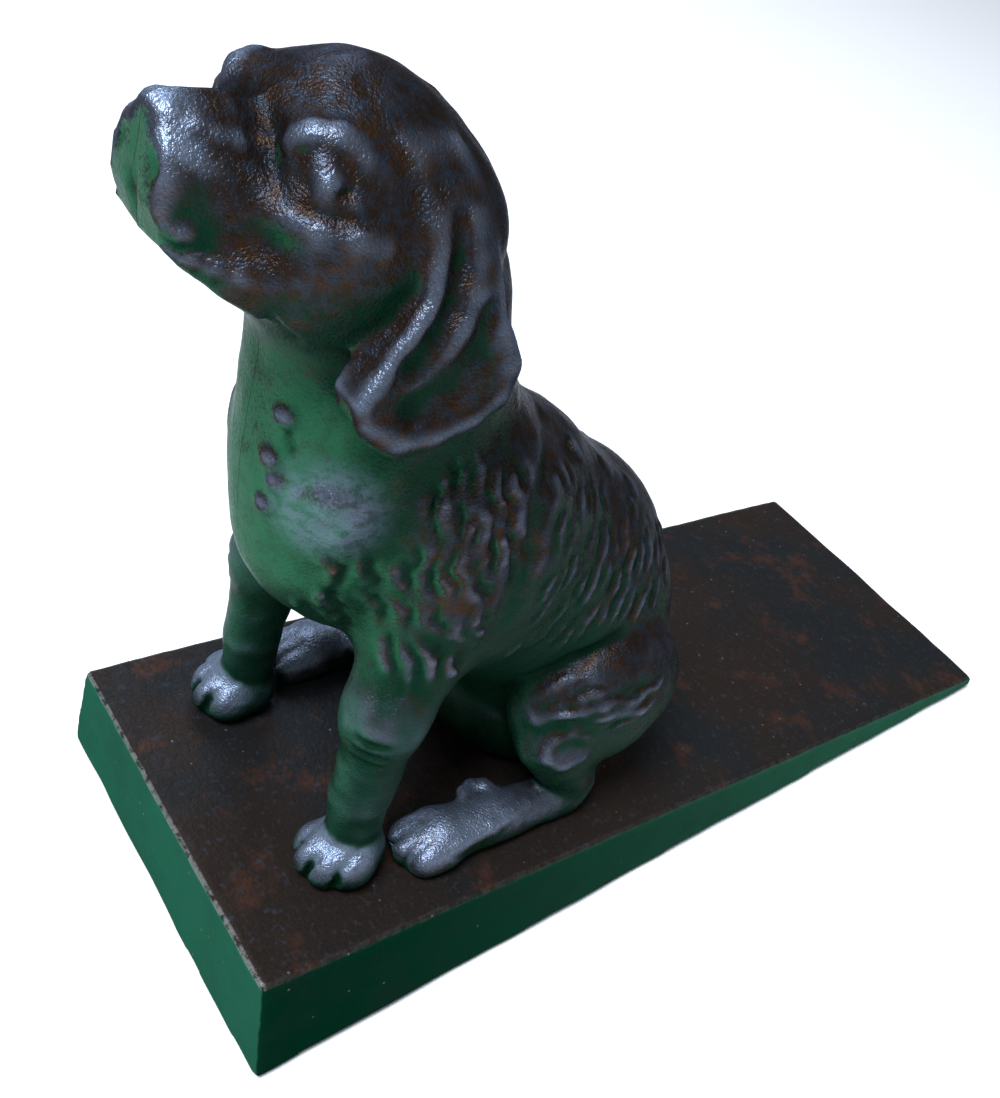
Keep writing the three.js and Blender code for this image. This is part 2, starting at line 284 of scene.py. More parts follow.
@dataclass(frozen=True)
class Faceted(Form):
    """A block bounded by flat faces, with its edges rounded.

    Args:
        normals: The faces' outward directions.
        offsets: How far each face lies from the origin along its direction.
        rounding: The radius of the edges.
        low: The lowest corner.
        high: The highest corner.
    """

    normals: Sequence[Point]
    offsets: Sequence[float]
    rounding: float
    low: Point
    high: Point

    def bounds(self) -> tuple[np.ndarray, np.ndarray]:
        """Gives the corners of the block's box."""
        return np.array(self.low), np.array(self.high)

    def distance(self, x: np.ndarray, v: np.ndarray, w: np.ndarray) -> np.ndarray:
        """Gives the distance to the rounded block."""
        outside = 0.0
        deepest = None
        for (nx, nv, nw), offset in zip(self.normals, self.offsets):
            face = x * nx + v * nv + w * nw - (offset - self.rounding)
            outside = outside + np.maximum(face, 0.0) ** 2
            deepest = face if deepest is None else np.maximum(deepest, face)
        return np.sqrt(outside) + np.minimum(deepest, 0.0) - self.rounding


class Clay:
    """A block of clay: a grid of distances to its surface, in millimetres.

    EMPTY is the distance where nothing is near, and NEAR the depth of the skin that a
    roughening changes.
    """

    EMPTY = 6.0
    NEAR = 3.0

    def __init__(self, low: Sequence[float], high: Sequence[float], step: float) -> None:
        """Starts an empty block.

        Args:
            low: The lowest corner.
            high: The highest corner.
            step: The distance between grid points.
        """
        self.low = np.array(low, dtype=np.float64)
        self.step = step
        counts = [int(math.ceil((h - l) / step)) + 1 for l, h in zip(low, high)]
        self.axes = [
            (l + step * np.arange(n)).astype(np.float32) for l, n in zip(self.low, counts)
        ]
        self.field = np.full(counts, self.EMPTY, dtype=np.float32)

    def window(self, form: Form, margin: float) -> tuple[tuple[slice, ...], Arrays]:
        """Finds the part of the grid that a form can change.

        Args:
            form: The form.
            margin: How far past its box it reaches.

        Returns:
            The grid's slices, and their coordinates ready to broadcast.
        """
        low, high = form.bounds()
        cuts = []
        for axis, a, b in zip(self.axes, low, high):
            first = int(np.searchsorted(axis, a - margin))
            last = int(np.searchsorted(axis, b + margin))
            cuts.append(slice(first, max(last, first)))
        x, v, w = (axis[cut] for axis, cut in zip(self.axes, cuts))
        return tuple(cuts), (x[:, None, None], v[None, :, None], w[None, None, :])

    def add(self, form: Form, blend: float = 1.0) -> None:
        """Adds a form, with a fillet where it meets what is there."""
        cut, place = self.window(form, blend + 2 * self.step)
        self.field[cut] = soft_min(self.field[cut], form.distance(*place), blend)

    def carve(self, form: Form, blend: float = 0.5) -> None:
        """Cuts a form out, with softened edges."""
        cut, place = self.window(form, blend + 2 * self.step)
        self.field[cut] = -soft_min(-self.field[cut], form.distance(*place), blend)

    def value(self, points: np.ndarray) -> np.ndarray:
        """Reads the field at points, between the grid's own."""
        place = (points - self.low) / self.step
        base = np.clip(place.astype(int), 0, np.array(self.field.shape) - 2)
        share = place - base
        total = np.zeros(len(points))
        for corner in np.ndindex(2, 2, 2):
            weight = np.prod(np.where(corner, share, 1.0 - share), axis=1)
            at = tuple((base + corner).T)
            total += weight * self.field[at]
        return total

    def outermost(self, back: float, up: float) -> float:
        """Finds the outermost x of the surface at a place in side view, or 0 outside it."""
        j = int(round((back - self.low[1]) / self.step))
        k = int(round((up - self.low[2]) / self.step))
        solid = np.nonzero(self.field[:, j, k] < 0.0)[0]
        return float(self.axes[0][solid[-1]]) if len(solid) else 0.0

    def cling(self, points: np.ndarray, lift: float = 0.0, rounds: int = 6) -> np.ndarray:
        """Moves points straight onto the surface.

        Args:
            points: The points, in rows.
            lift: How far above the surface they end.
            rounds: How many steps they take.

        Returns:
            The moved points.
        """
        moved = np.array(points, dtype=np.float64)
        reach = 1.5 * self.step
        for _ in range(rounds):
            slope = np.stack(
                [
                    self.value(moved + reach * axis) - self.value(moved - reach * axis)
                    for axis in np.eye(3)
                ],
                axis=1,
            )
            slope /= np.linalg.norm(slope, axis=1, keepdims=True) + 1e-9
            moved -= slope * (self.value(moved) - lift)[:, None]
        return moved

    def smoothed(self, radius: float) -> "Clay":
        """Gives a copy with its field averaged over boxes of half size `radius`, twice."""
        copy = Clay.__new__(Clay)
        copy.low, copy.step, copy.axes = self.low, self.step, self.axes
        n = max(1, round(radius / self.step))
        field = self.field
        for axis in (0, 1, 2, 0, 1, 2):
            pad = [(n + 1, n) if i == axis else (0, 0) for i in range(3)]
            total = np.cumsum(np.pad(field, pad, mode="edge"), axis=axis, dtype=np.float64)
            upper = np.take(total, range(2 * n + 1, total.shape[axis]), axis=axis)
            lower = np.take(total, range(0, total.shape[axis] - 2 * n - 1), axis=axis)
            field = ((upper - lower) / (2 * n + 1)).astype(np.float32)
        copy.field = field
        return copy

    def roughen(self, size: float, depth: float, seed: int) -> None:
        """Makes the surface uneven.

        Args:
            size: The distance between lumps.
            depth: About how far they stand up or sink in.
            seed: The random seed.
        """
        lumps = np.random.default_rng(seed)
        counts = [int(len(axis) * self.step / size) + 5 for axis in self.axes]
        noise = lumps.standard_normal(counts).astype(np.float32)
        for axis, line in enumerate(self.axes):
            place = (line - line[0]) / size + 1.0
            base = place.astype(int)
            t = place - base
            weights = np.stack(
                [
                    (1 - t) ** 3 / 6,
                    (3 * t**3 - 6 * t**2 + 4) / 6,
                    (-3 * t**3 + 3 * t**2 + 3 * t + 1) / 6,
                    t**3 / 6,
                ]
            )
            shape = [-1 if i == axis else 1 for i in range(3)]
            noise = sum(
                np.take(noise, base - 1 + i, axis=axis) * weights[i].reshape(shape)
                for i in range(4)
            ).astype(np.float32)
        noise *= depth / float(noise.std())
        near = np.abs(self.field) < self.NEAR * (1.0 + depth)
        self.field[near] += noise[near]

    def skin(self) -> tuple[np.ndarray, np.ndarray]:
        """Meshes the surface.

        Returns:
            The points, in millimetres, and the faces of four corners, facing out.
        """
        grid = openvdb.FloatGrid(background=self.EMPTY)
        grid.copyFromArray(self.field)
        points, _, quads = grid.convertToPolygons(isovalue=0.0, adaptivity=0.0)
        return points * self.step + self.low, quads


# ---- the hound --------------------------------------------------------------------------------


@dataclass(frozen=True)
class Stand:
    """The hound's own frame: on the wedge's top face, leaning with it."""

    origin: np.ndarray
    back: np.ndarray
    up: np.ndarray

    @classmethod
    def from_frame(cls, thin_reach: float = 2.0, thick_reach: float = 4.0) -> "Stand":
        """Reads the wedge's top face and the base screws from the CAD frame.

        Args:
            thin_reach: How far from the thin end its own corners lie, in millimetres.
            thick_reach: The same for the thick end.

        Returns:
            The frame, in millimetres.
        """
        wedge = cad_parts["wedge_base"]
        corners = np.array([v.co for v in wedge.data.vertices]) / MM
        thin = corners[corners[:, 1] > corners[:, 1].max() - thin_reach]
        thick = corners[corners[:, 1] < corners[:, 1].min() + thick_reach]
        high = thick[thick[:, 2].argmax()]
        low = thin[thin[:, 2].argmax()]
        run, drop = high[1] - low[1], high[2] - low[2]
        slope = math.atan(-drop / run)
        back = np.array([0.0, math.cos(slope), -math.sin(slope)])
        up = np.array([0.0, math.sin(slope), math.cos(slope)])
        washers = [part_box("base_washer_left"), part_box("base_washer_right")]
        middle = np.mean(np.array(washers), axis=(0, 1)) / MM
        foot = middle + up * ((high - middle) @ up)
        return cls(foot - back * BASE_SCREW_AT[1], back, up)

    def place(self, points: np.ndarray) -> np.ndarray:
        """Turns clay coordinates (x, back, up) in millimetres into the scene's, in metres."""
        x, back, up = points[:, :1], points[:, 1:2], points[:, 2:]
        return (self.origin + x * np.array([1.0, 0, 0]) + back * self.back + up * self.up) * MM


class Side(Enum):
    """The hound's two half castings."""

    LEFT = 1
    RIGHT = -1

    @property
    def node(self) -> str:
        """Names the CAD node that this half stands for."""
        return "figure_left" if self is Side.LEFT else "figure_right"


@dataclass(frozen=True)
class Coat:
    """A patch of carved fur: short grooves in staggered rows.

    Args:
        back: The patch's first and last `back`.
        up: The patch's lowest and highest `up`.
        spacing: The gaps between grooves, along and across their rows.
        heading: The way each groove runs.
        length: How long a groove is.
        bend: How far its middle swings sideways.
        radius: The gouge's radius.
        lift: How far the gouge's middle stays above the surface.
        seed: The random seed of its unevenness.
        jitter: How far a groove strays from its place, as a share of the spacing.
        lengths: The least and greatest share of its length that a groove gets.
        bends: The same for its bend.
        radii: The same for its radius.
        turned: The share of grooves that bend the other way.
    """

    back: tuple[float, float]
    up: tuple[float, float]
    spacing: tuple[float, float]
    heading: Point
    length: float
    bend: float
    radius: float
    lift: float
    seed: int
    jitter: float = 0.28
    lengths: Band = (0.7, 1.1)
    bends: Band = (0.4, 1.0)
    radii: Band = (0.75, 1.15)
    turned: float = 0.3

    def starts(self) -> np.ndarray:
        """Gives the grooves' middles in side view, staggered and jittered."""
        rows = np.arange(self.up[0], self.up[1], self.spacing[1])
        places = []
        for i, up in enumerate(rows):
            shift = 0.5 * self.spacing[0] * (i % 2)
            for back in np.arange(self.back[0] + shift, self.back[1], self.spacing[0]):
                places.append((back, up))
        places = np.array(places)
        draw = np.random.default_rng(self.seed)
        return places + draw.uniform(-self.jitter, self.jitter, places.shape) * self.spacing


@dataclass
class Hound:
    """The seated hound, sculpted as its left half and mirrored for the right."""

    stand: Stand
    step: float = 0.48
    wall: float = 4.0
    boss_wall: float = 2.6
    seam: float = 0.03
    low: Point = (-3.2, -53.0, -1.2)
    high: Point = (25.0, 44.0, 104.0)
    cross_at: tuple[float, float] = (1.0, 42.0)
    cross_hole: float = 2.25
    counterbore: tuple[float, float] = (12.9, 3.9)
    cross_reach: float = 11.3
    base_reach: float = 11.3
    pegs: tuple[tuple[float, float], ...] = ((-42.5, 88.5), (36.0, 17.0))
    peg_radius: float = 1.5
    peg_length: float = 2.5
    peg_root: float = 3.0
    flank_from: float = 5.0
    stroke: tuple[float, ...] = (0.6, 0.95, 1.0, 0.95, 0.55)
    strand_gap: float = 1.3
    strand_sunk: float = 0.6
    strand_width: float = 0.9
    softened: float = 0.9
    crisp_degrees: float = 60.0

    # -- big forms --

    def skull(self) -> tuple[Ball, float]:
        """Gives the ball of the skull, with its fillet."""
        return Ball((0, -28.6, 86.2), (12.2, 13.4, 13.2)), 3

    def torso(self) -> list[tuple[Form, float]]:
        """Lists the big forms of the body, each with its fillet."""
        return [
            (Ball((0, 24.5, 19), (17.3, 15.8, 20)), 3),
            (Ball((0, 23, 8), (15, 17, 13)), 4),
            (Ball((0, 14.6, 32.2), (16.3, 20.6, 18.4), lean=42), 5),
            (Ball((0, -1, 42.2), (16, 21.5, 18.8), lean=38), 5),
            (Ball((0, -15.4, 52), (13.6, 17.8, 19)), 5),
            (Taper((0, -15.5, 57), (0, -21, 77), 13.2, 12), 5),
            (Taper((0, -22, 60), (0, -24.5, 75), 12, 10.3), 4),
        ]

    def model_torso(self, clay: Clay) -> None:
        """Builds the body, the shoulder and the thigh."""
        for form, blend in self.torso():
            clay.add(form, blend)
        clay.add(Ball((9.6, -7.5, 46), (8.0, 12.3, 17), lean=-6), 5)
        clay.add(Ball((14.3, 20.8, 18.2), (8.6, 14.0, 13.0), lean=10), 1.6)

    def model_legs(self, clay: Clay) -> None:
        """Builds the front leg, the hind leg and their feet."""
        clay.add(Taper((10.2, -11.5, 42), (14.6, -17.3, 28), 7.0, 4.9), 4)
        clay.add(Rope([(14.6, -17.3, 29), (15, -17.4, 14), (15.1, -16.8, 6)], [4.8, 3.9, 3.5]), 3)
        clay.add(Ball((15.4, -17.4, 3.0), (4.6, 5.4, 4.6)), 1.6)
        clay.add(Taper((17.5, 12, 14), (18.5, 18.5, 5), 5, 3.6), 2)
        clay.add(Taper((18.5, -4, 2.4), (19.3, 17, 2.2), 3.9, 3.2), 2)
        clay.add(Ball((18.6, -5.0, 2.2), (4.6, 4.0, 3.4)), 1.4)

    def model_toes(self, clay: Clay) -> None:
        """Adds the knuckled toes and cuts the slits between them."""
        front = [(12.5, -20.6, 2.6), (14.9, -21.9, 2.7), (17.6, -21.0, 2.7), (18.9, -18.2, 3.0)]
        for at in front:
            clay.add(Ball(at, (2.0, 2.5, 2.8), lean=-20), 2.0)
        hind = [(16.0, -8.2, 1.9), (18.6, -8.9, 2.1), (21.3, -7.6, 2.0)]
        for at in hind:
            clay.add(Ball(at, (1.8, 2.5, 2.2), lean=-15), 2.0)
        slits = [
            [(13.6, -18.6, 7.0), (13.7, -22.4, 4.2), (13.7, -23.6, 0.5)],
            [(16.3, -18.8, 7.0), (16.4, -22.4, 4.4), (16.5, -23.6, 0.5)],
            [(18.0, -17.8, 6.6), (19.0, -20.6, 4.4), (19.4, -21.2, 0.5)],
            [(17.2, -6.6, 5.2), (17.3, -10.0, 3.8), (17.3, -11.4, 0.5)],
            [(20.0, -6.2, 5.2), (20.2, -9.6, 3.6), (20.3, -10.9, 0.5)],
        ]
        for slit in slits:
            self.groove(clay, slit, 0.5, 0.2)

    # -- the head --

    def model_head(self, clay: Clay) -> None:
        """Builds the skull, muzzle, brow, cheek and jaw."""
        clay.add(*self.skull())
        clay.add(Ball((0, -31.4, 92.2), (7.2, 7.6, 8.1)), 3)
        muzzle = Plank(
            outline=[(-34, 96.6), (-48.0, 97.6), (-49.5, 96.4), (-49.4, 88), (-48.4, 85),
                     (-46.0, 83.2), (-40.5, 80.6), (-30, 79), (-30, 92)],
            middle=0,
            half_width=7.0,
            rounding=0.9,
            flare=(0.30, -0.12),
            pivot=(-44, 86),
        )
        clay.add(muzzle, 1.6)
        bevel = Faceted([(-0.67, 0.0, -0.74), (0.0, 1.0, 0.0)], [-72.1, -39.6], 0.3,
                        (0, -53, 84), (12, -38, 100))
        clay.carve(bevel, 2.2)
        clay.add(Ball((4.4, -33.4, 93.0), (4.7, 4.6, 4.5)), 2.4)
        clay.add(Ball((7.2, -32.6, 86), (6, 8, 8)), 3)
        clay.add(Ball((5.0, -39.6, 84.2), (4.0, 4.6, 4.0)), 2)

    def detail_head(self, clay: Clay) -> None:
        """Carves the stop, brow, eye, pouch, nose and lips."""
        self.groove(clay, [(0, -40.4, 97), (3.2, -40.2, 95.4), (4.6, -40.2, 93)], 1.1, 0.7, 1.4)
        under = [(6.3, -38.3, 94.4), (7.0, -37.2, 95.3), (8.2, -36.0, 95.3), (9.3, -35.0, 94.4)]
        self.groove(clay, under, 0.65, 0.3, 0.6)
        lid = [(5.8, -39.2, 94.6), (6.6, -37.6, 96.3), (8.0, -36.0, 96.6), (9.6, -34.4, 95.4)]
        self.ridge(clay, lid, 1.0, -0.6, 1.0)
        self.lump(clay, (8.0, -37.2, 94.2), 1.5, -0.75)
        self.lump(clay, (9.0, -36.9, 93.0), 1.2, -0.3)
        self.groove(clay, [(9.6, -37.0, 92.4), (10.2, -36.0, 92.9), (10.2, -35.4, 93.8)], 0.45, 0.1,
                    0.3)
        self.ridge(clay, [(8.4, -39.0, 92.0), (9.8, -37.4, 91.8), (11.0, -35.4, 92.1)], 0.8, -0.4)
        self.groove(clay, [(9.2, -38.8, 90.9), (10.9, -36.8, 90.8), (12.2, -34.4, 90.9)], 0.8, 0.4)
        cheek = [(7.4, -40.8, 90.4), (8.8, -40.0, 89.6), (10.6, -37.8, 90.0), (12.2, -35.3, 89.6),
                 (12.9, -33.0, 89.4)]
        self.ridge(clay, cheek, 1.5, -1.0, 1.4)
        self.lump(clay, (3.6, -40.2, 94.2), 1.1, -0.6)
        for at in [(1.8, -47.6, 96.0), (2.8, -45.8, 95.2), (3.6, -44.2, 94.6), (4.0, -42.4, 94.3)]:
            self.lump(clay, at, 1.2, -0.8)
        self.groove(clay, [(2.6, -49.4, 92.6), (3.3, -49.2, 91.6), (3.3, -49.2, 90.6)], 0.6, 0.15)
        self.groove(clay, [(0.6, -50, 89.8), (0.2, -50, 87.8), (0, -49, 85.6)], 0.55, 0.15, 0.3)
        self.groove(clay, [(5.0, -48.3, 86.3), (6.4, -47.3, 85.9), (7.2, -46, 86.0)], 0.55, 0.15)
        for at in [(6.2, -47.4, 87.1), (6.7, -46.6, 85.1), (7.4, -44.9, 84.6)]:
            self.lump(clay, at, 1.0, -0.5)
        self.lump(clay, (8.4, -43.0, 84.2), 1.6, -1.15)
        self.groove(clay, [(9.4, -40.1, 81.0), (8.2, -38.6, 79.6), (6.4, -35.0, 77)], 0.9, 0.4, 0.8)
        self.groove(clay, [(7.6, -42.4, 87.8), (8.8, -41, 87.6), (9.6, -39.6, 87.2)], 2.2, 1.75, 2)

    def model_ear(self, clay: Clay) -> None:
        """Builds the hanging ear: a drape off the skull, a flat front edge and a raised rim."""
        clay.add(Ball((7.2, -22.8, 87.0), (6.0, 5.7, 7.4)), 4)
        leaf = Plank(
            outline=[(-30.4, 96.8), (-29.2, 93), (-28.3, 89), (-28.7, 85.4), (-30.2, 82.8),
                     (-31.8, 80.4), (-33.4, 77.8), (-34.3, 75.5), (-33.4, 73.2), (-31.4, 71),
                     (-28.5, 69.7), (-25, 69.8), (-21.5, 71.3), (-18.2, 73.4), (-16.6, 76.4),
                     (-17.8, 80), (-19.6, 83), (-20.5, 87), (-22, 92), (-24, 96.8)],
            middle=14.2,
            half_width=2.4,
            rounding=1.0,
            flare=(0.0, -0.05),
            pivot=(-26, 80),
            bow=0.026,
        )
        clay.add(leaf, 1.4)
        clay.add(Taper((10.0, -26.5, 90), (13.0, -24.5, 77), 2.2, 2.6), 3.0)
        valley = [(13.4, -25.8, 92), (15.0, -25.5, 88.6), (16.2, -26.1, 85), (16.8, -27.6, 82),
                  (16.8, -29.2, 79.4), (16.8, -30.4, 77)]
        self.groove(clay, valley, 1.3, 0.5, 0.9)
        second = [(13.0, -23.8, 92), (14.8, -23.4, 89), (16.2, -23.6, 86), (16.6, -24.6, 83),
                  (16.8, -25.6, 80.6)]
        self.ridge(clay, second, 1.1, -1.0, 1.3)
        hollow = [(16.2, -21.6, 84), (17, -22.4, 80), (17.2, -24.6, 76.8), (17, -28.4, 74.6),
                  (17, -31.4, 74.6)]
        self.groove(clay, hollow, 2.3, 1.4, 1.4)
        rim = [(15.6, -19.4, 82.4), (16.2, -18.0, 78.4), (16.8, -18.6, 75.2), (16.9, -21.4, 73.0),
               (16.9, -25.0, 71.6), (16.6, -28.8, 71.4), (16.4, -32.0, 73.0)]
        self.ridge(clay, rim, 1.5, -0.8, 1.0)

    # -- folds and fur --

    def detail_body(self, clay: Clay) -> None:
        """Carves the folds, creases, bumps and fur of the body."""
        crease = [(5, 2.4, 63), (9.5, -1.4, 62.4), (14.4, -5.4, 59), (17.2, -6.4, 53),
                  (18.2, -7.4, 46), (18.0, -8.8, 39.5)]
        self.groove(clay, crease, 1.7, 1.1, 1.4)
        self.groove(clay, [(14.0, 6.6, 24.4), (15.2, 11, 28.8), (16.6, 18, 31.4)], 1.1, 0.5, 0.9)
        self.ridge(clay, [(17.4, 6.6, 19.6), (19.4, 9.4, 22.2), (20.8, 15, 22.8), (20.6, 21, 21)],
                   1.3, -0.7, 1.2)
        ring = [(20.4 + 0.4 * math.sin(t), 11.2 + 3.1 * math.cos(t), 16.6 + 2.6 * math.sin(t))
                for t in np.linspace(0, 2 * math.pi, 9)]
        self.ridge(clay, ring, 0.9, -0.7, 1.0)
        self.groove(clay, [(21, 10.2, 16.4), (21, 12.2, 16.8)], 1.3, 0.75, 1.0)
        loop = [(16.6 + 2.3 * math.cos(t), 3.3 + 2.3 * math.sin(t), 4.4)
                for t in np.linspace(0, 2 * math.pi, 9)]
        clay.add(Rope(loop, [1.15] * 9), 0.7)
        self.ridge(clay, [(22.4, -4.5, 4.4), (22.0, 2, 5.0), (20.4, 9, 6.0)], 1.0, -0.4, 0.9)
        for up in (27.8, 25.6, 23.6):
            wrist = [(16.6, -22.2, up + 0.4), (17.8, -21.0, up), (18.9, -19.4, up + 0.3)]
            self.groove(clay, wrist, 0.55, 0.2)
        patch = [(7.4, -31.4, 58.6), (9.8, -29.2, 58.8), (11.4, -27.2, 57.4), (10.6, -27.8, 54)]
        self.ridge(clay, patch, 2.4, -1.9, 1.6)
        for coat in self.coats():
            self.carve_coat(clay, coat)

    def spatter(self, clay: Clay) -> None:
        """Adds the casting's bumps and pits beside the chest seam, on the left half only."""
        for at in [(4.7, -32.9, 66.7), (3.9, -32.9, 61.0), (4.9, -32.5, 59.0), (4.2, -33.3, 55.3)]:
            self.lump(clay, at, 1.2, -0.35)
        self.groove(clay, [(5.8, -33.2, 64.8), (6.2, -32.6, 63.2)], 0.8, 0.2)

    def coats(self) -> list[Coat]:
        """Lists the patches of fur."""
        return [
            Coat(back=(-2.5, 30), up=(36, 62), spacing=(2.5, 5.6), heading=(0.1, 0.35, 1),
                 length=7.0, bend=0.5, radius=0.8, lift=0.42, seed=3),
            Coat(back=(-20, -7.5), up=(52, 65), spacing=(2.3, 5.0), heading=(0.1, -0.25, 1),
                 length=6.0, bend=0.6, radius=0.8, lift=0.35, seed=5),
            Coat(back=(-26, -9), up=(39, 55), spacing=(2.9, 5.6), heading=(0.3, 0.45, -1),
                 length=6.2, bend=1.0, radius=1.0, lift=0.5, seed=8),
            Coat(back=(9, 24), up=(22, 29), spacing=(3.0, 3.6), heading=(0.1, 1, 0.3),
                 length=4.6, bend=0.5, radius=0.7, lift=0.4, seed=13),
        ]

    def carve_coat(self, clay: Clay, coat: Coat) -> None:
        """Cuts one patch of fur, leaving out places too near the middle plane.

        Each groove has a raised strand beside it, on the side that it would lie to.
        """
        places = coat.starts()
        side = np.array([clay.outermost(back, up) for back, up in places])
        middles = np.column_stack([side, places])[side > self.flank_from]
        heading = np.array(coat.heading) / np.linalg.norm(coat.heading)
        across = np.cross(heading, (1.0, 0.0, 0.0))
        draw = np.random.default_rng(coat.seed + 100)
        for middle in middles:
            swing = coat.bend * draw.uniform(*coat.bends)
            swing *= 1 if draw.random() > coat.turned else -1
            length = coat.length * draw.uniform(*coat.lengths)
            line = np.array([
                middle + heading * length * t + across * swing * math.cos(2 * math.pi * t)
                for t in (-0.5, -0.25, 0.0, 0.25, 0.5)
            ])
            radii = coat.radius * draw.uniform(*coat.radii) * np.array(self.stroke)
            points = clay.cling(line, coat.lift)
            beside = line + self.strand_gap * coat.radius * across
            strand = clay.cling(beside, -self.strand_sunk * coat.radius)
            clay.carve(Rope([tuple(p) for p in points], list(radii), 0.3), 0.45)
            clay.add(Rope([tuple(p) for p in strand], list(self.strand_width * radii), 0.3), 0.5)

    # -- tools --

    def ridge(self, clay: Clay, line: Sequence[Point], radius: float, lift: float,
              blend: float = 0.6) -> None:
        """Lays a bead along the surface, sunk by a negative lift, thin at its ends."""
        points = clay.cling(np.array(line, dtype=float), lift)
        radii = [radius * (0.75 if i in (0, len(line) - 1) else 1.0) for i in range(len(line))]
        clay.add(Rope([tuple(p) for p in points], radii), blend)

    def groove(self, clay: Clay, line: Sequence[Point], radius: float, lift: float,
               blend: float = 0.5) -> None:
        """Draws a gouge along the surface, thin at its ends."""
        points = clay.cling(np.array(line, dtype=float), lift)
        radii = [radius * (0.7 if i in (0, len(line) - 1) else 1.0) for i in range(len(line))]
        clay.carve(Rope([tuple(p) for p in points], radii), blend)

    def lump(self, clay: Clay, at: Point, radius: float, lift: float) -> None:
        """Presses a small ball onto the surface."""
        point = clay.cling(np.array([at], dtype=float), lift)[0]
        clay.add(Ball(tuple(point), (radius, radius, radius)), 0.8)

    # -- castings --

    def model(self) -> Clay:
        """Sculpts the whole left half as solid clay."""
        clay = Clay(self.low, self.high, self.step)
        self.model_torso(clay)
        self.model_legs(clay)
        self.model_head(clay)
        self.model_ear(clay)
        self.detail_head(clay)
        self.model_toes(clay)
        self.detail_body(clay)
        clay.roughen(size=3.4, depth=0.09, seed=21)
        clay.roughen(size=1.3, depth=0.035, seed=22)
        return clay

    def thinned(self, form: Form) -> Form:
        """Gives a ball or taper smaller by the wall."""
        if isinstance(form, Ball):
            return Ball(form.at, tuple(r - self.wall for r in form.radii), form.lean)
        return Taper(form.start, form.end, form.start_radius - self.wall,
                     form.end_radius - self.wall)

    def across(self, at: Band, radius: float, start: float = PAST_MIDDLE,
               end: float = PAST_FLANK) -> Rod:
        """Gives a bar from side to side, at a place in side view."""
        return Rod((start, *at), (end, *at), radius)

    def upright(self, reach: float, radius: float) -> Rod:
        """Gives a bar up from below the foot, on a base screw's axis."""
        return Rod((*BASE_SCREW_AT, PAST_FOOT), (*BASE_SCREW_AT, reach), radius)

    def room(self) -> Clay:
        """Builds the hollow inside the casting, with the screws' and pegs' bosses left in it."""
        clay = Clay(self.low, self.high, self.step)
        for form, blend in [*self.torso(), self.skull()]:
            clay.add(self.thinned(form), blend)
        bosses = [self.across(self.cross_at, self.cross_hole + self.boss_wall),
                  self.upright(self.base_reach + self.boss_wall,
                               BASE_SCREW_HOLE + self.boss_wall)]
        bosses += [self.across(peg, self.peg_radius + self.boss_wall) for peg in self.pegs]
        for boss in bosses:
            clay.carve(boss, 1.0)
        floor = self.wall + TOUCH
        clay.field = np.maximum(clay.field, (floor - clay.axes[2])[None, None, :])
        return clay

    def casting(self, solid: Clay, room: Clay, side: Side) -> Clay:
        """Cuts one half casting out of the solid clay.

        Args:
            solid: The sculpted half.
            room: The hollow inside it.
            side: Which half to make.

        Returns:
            The clay of the casting, as the left half even for the right one.
        """
        clay = Clay(self.low, self.high, self.step)
        clay.field = np.maximum(solid.field, -room.field)
        clay.carve(self.upright(self.base_reach, BASE_SCREW_HOLE), CRISP)
        far = PAST_FLANK if side is Side.RIGHT else self.cross_reach
        clay.carve(self.across(self.cross_at, self.cross_hole, end=far), CRISP)
        edge = clay.axes[0][:, None, None]
        clay.field = np.maximum(clay.field, self.seam - edge)
        clay.field = np.maximum(clay.field, (self.seam - clay.axes[2])[None, None, :])
        if side is Side.RIGHT:
            depth, radius = self.counterbore
            clay.carve(self.across(self.cross_at, radius, start=depth), CRISP)
            for peg in self.pegs:
                socket = self.across(peg, self.peg_radius + TOUCH, end=self.peg_length + TOUCH)
                clay.carve(socket, CRISP)
        else:
            for peg in self.pegs:
                stub = self.across(peg, self.peg_radius, -self.peg_length, self.peg_root)
                clay.add(stub, CRISP)
        return clay

    def close_seam(self, points: np.ndarray, solid: Clay) -> np.ndarray:
        """Squares up the outer edge of the parting face, so that the halves meet cleanly."""
        moved = points.copy()
        near = (points[:, 0] < self.seam + 0.6 * self.step) & (points[:, 0] > self.seam - 0.2)
        near &= np.abs(solid.value(points)) < 0.6 * self.step
        for _ in range(3):
            moved[near, 0] = self.seam
            moved[near] = solid.cling(moved[near], rounds=1)
        moved[near, 0] = self.seam
        return moved

    def build(self, iron: bpy.types.Material) -> None:
        """Makes both half castings and puts them on the object."""
        solid, room = self.model(), self.room()
        for side in (Side.RIGHT, Side.LEFT):
            if side is Side.LEFT:
                self.spatter(solid)
            soft = solid.smoothed(self.softened)
            points, quads = self.casting(solid, room, side).skin()
            points = self.close_seam(points, solid)
            relief = soft.value(points)
            if side is Side.RIGHT:
                points, quads = points * np.array([-1.0, 1.0, 1.0]), quads[:, ::-1]
            piece = mesh_object(f"{side.node}_casting", self.stand.place(points), quads, iron,
                                {"relief": relief})
            smooth_by_angle(piece, self.crisp_degrees)
            dress(piece, "figure_iron", side.node)


# ---- shader nodes ---------------------------------------------------------------------------


def linear(code: str) -> tuple[float, float, float, float]:
    """Turns an sRGB hex colour such as "2a2522" into linear RGBA."""
    channels = [int(code[i : i + 2], 16) / 255 for i in (0, 2, 4)]
    flat = [c / 12.92 if c <= 0.04045 else ((c + 0.055) / 1.055) ** 2.4 for c in channels]
    return (*flat, 1.0)


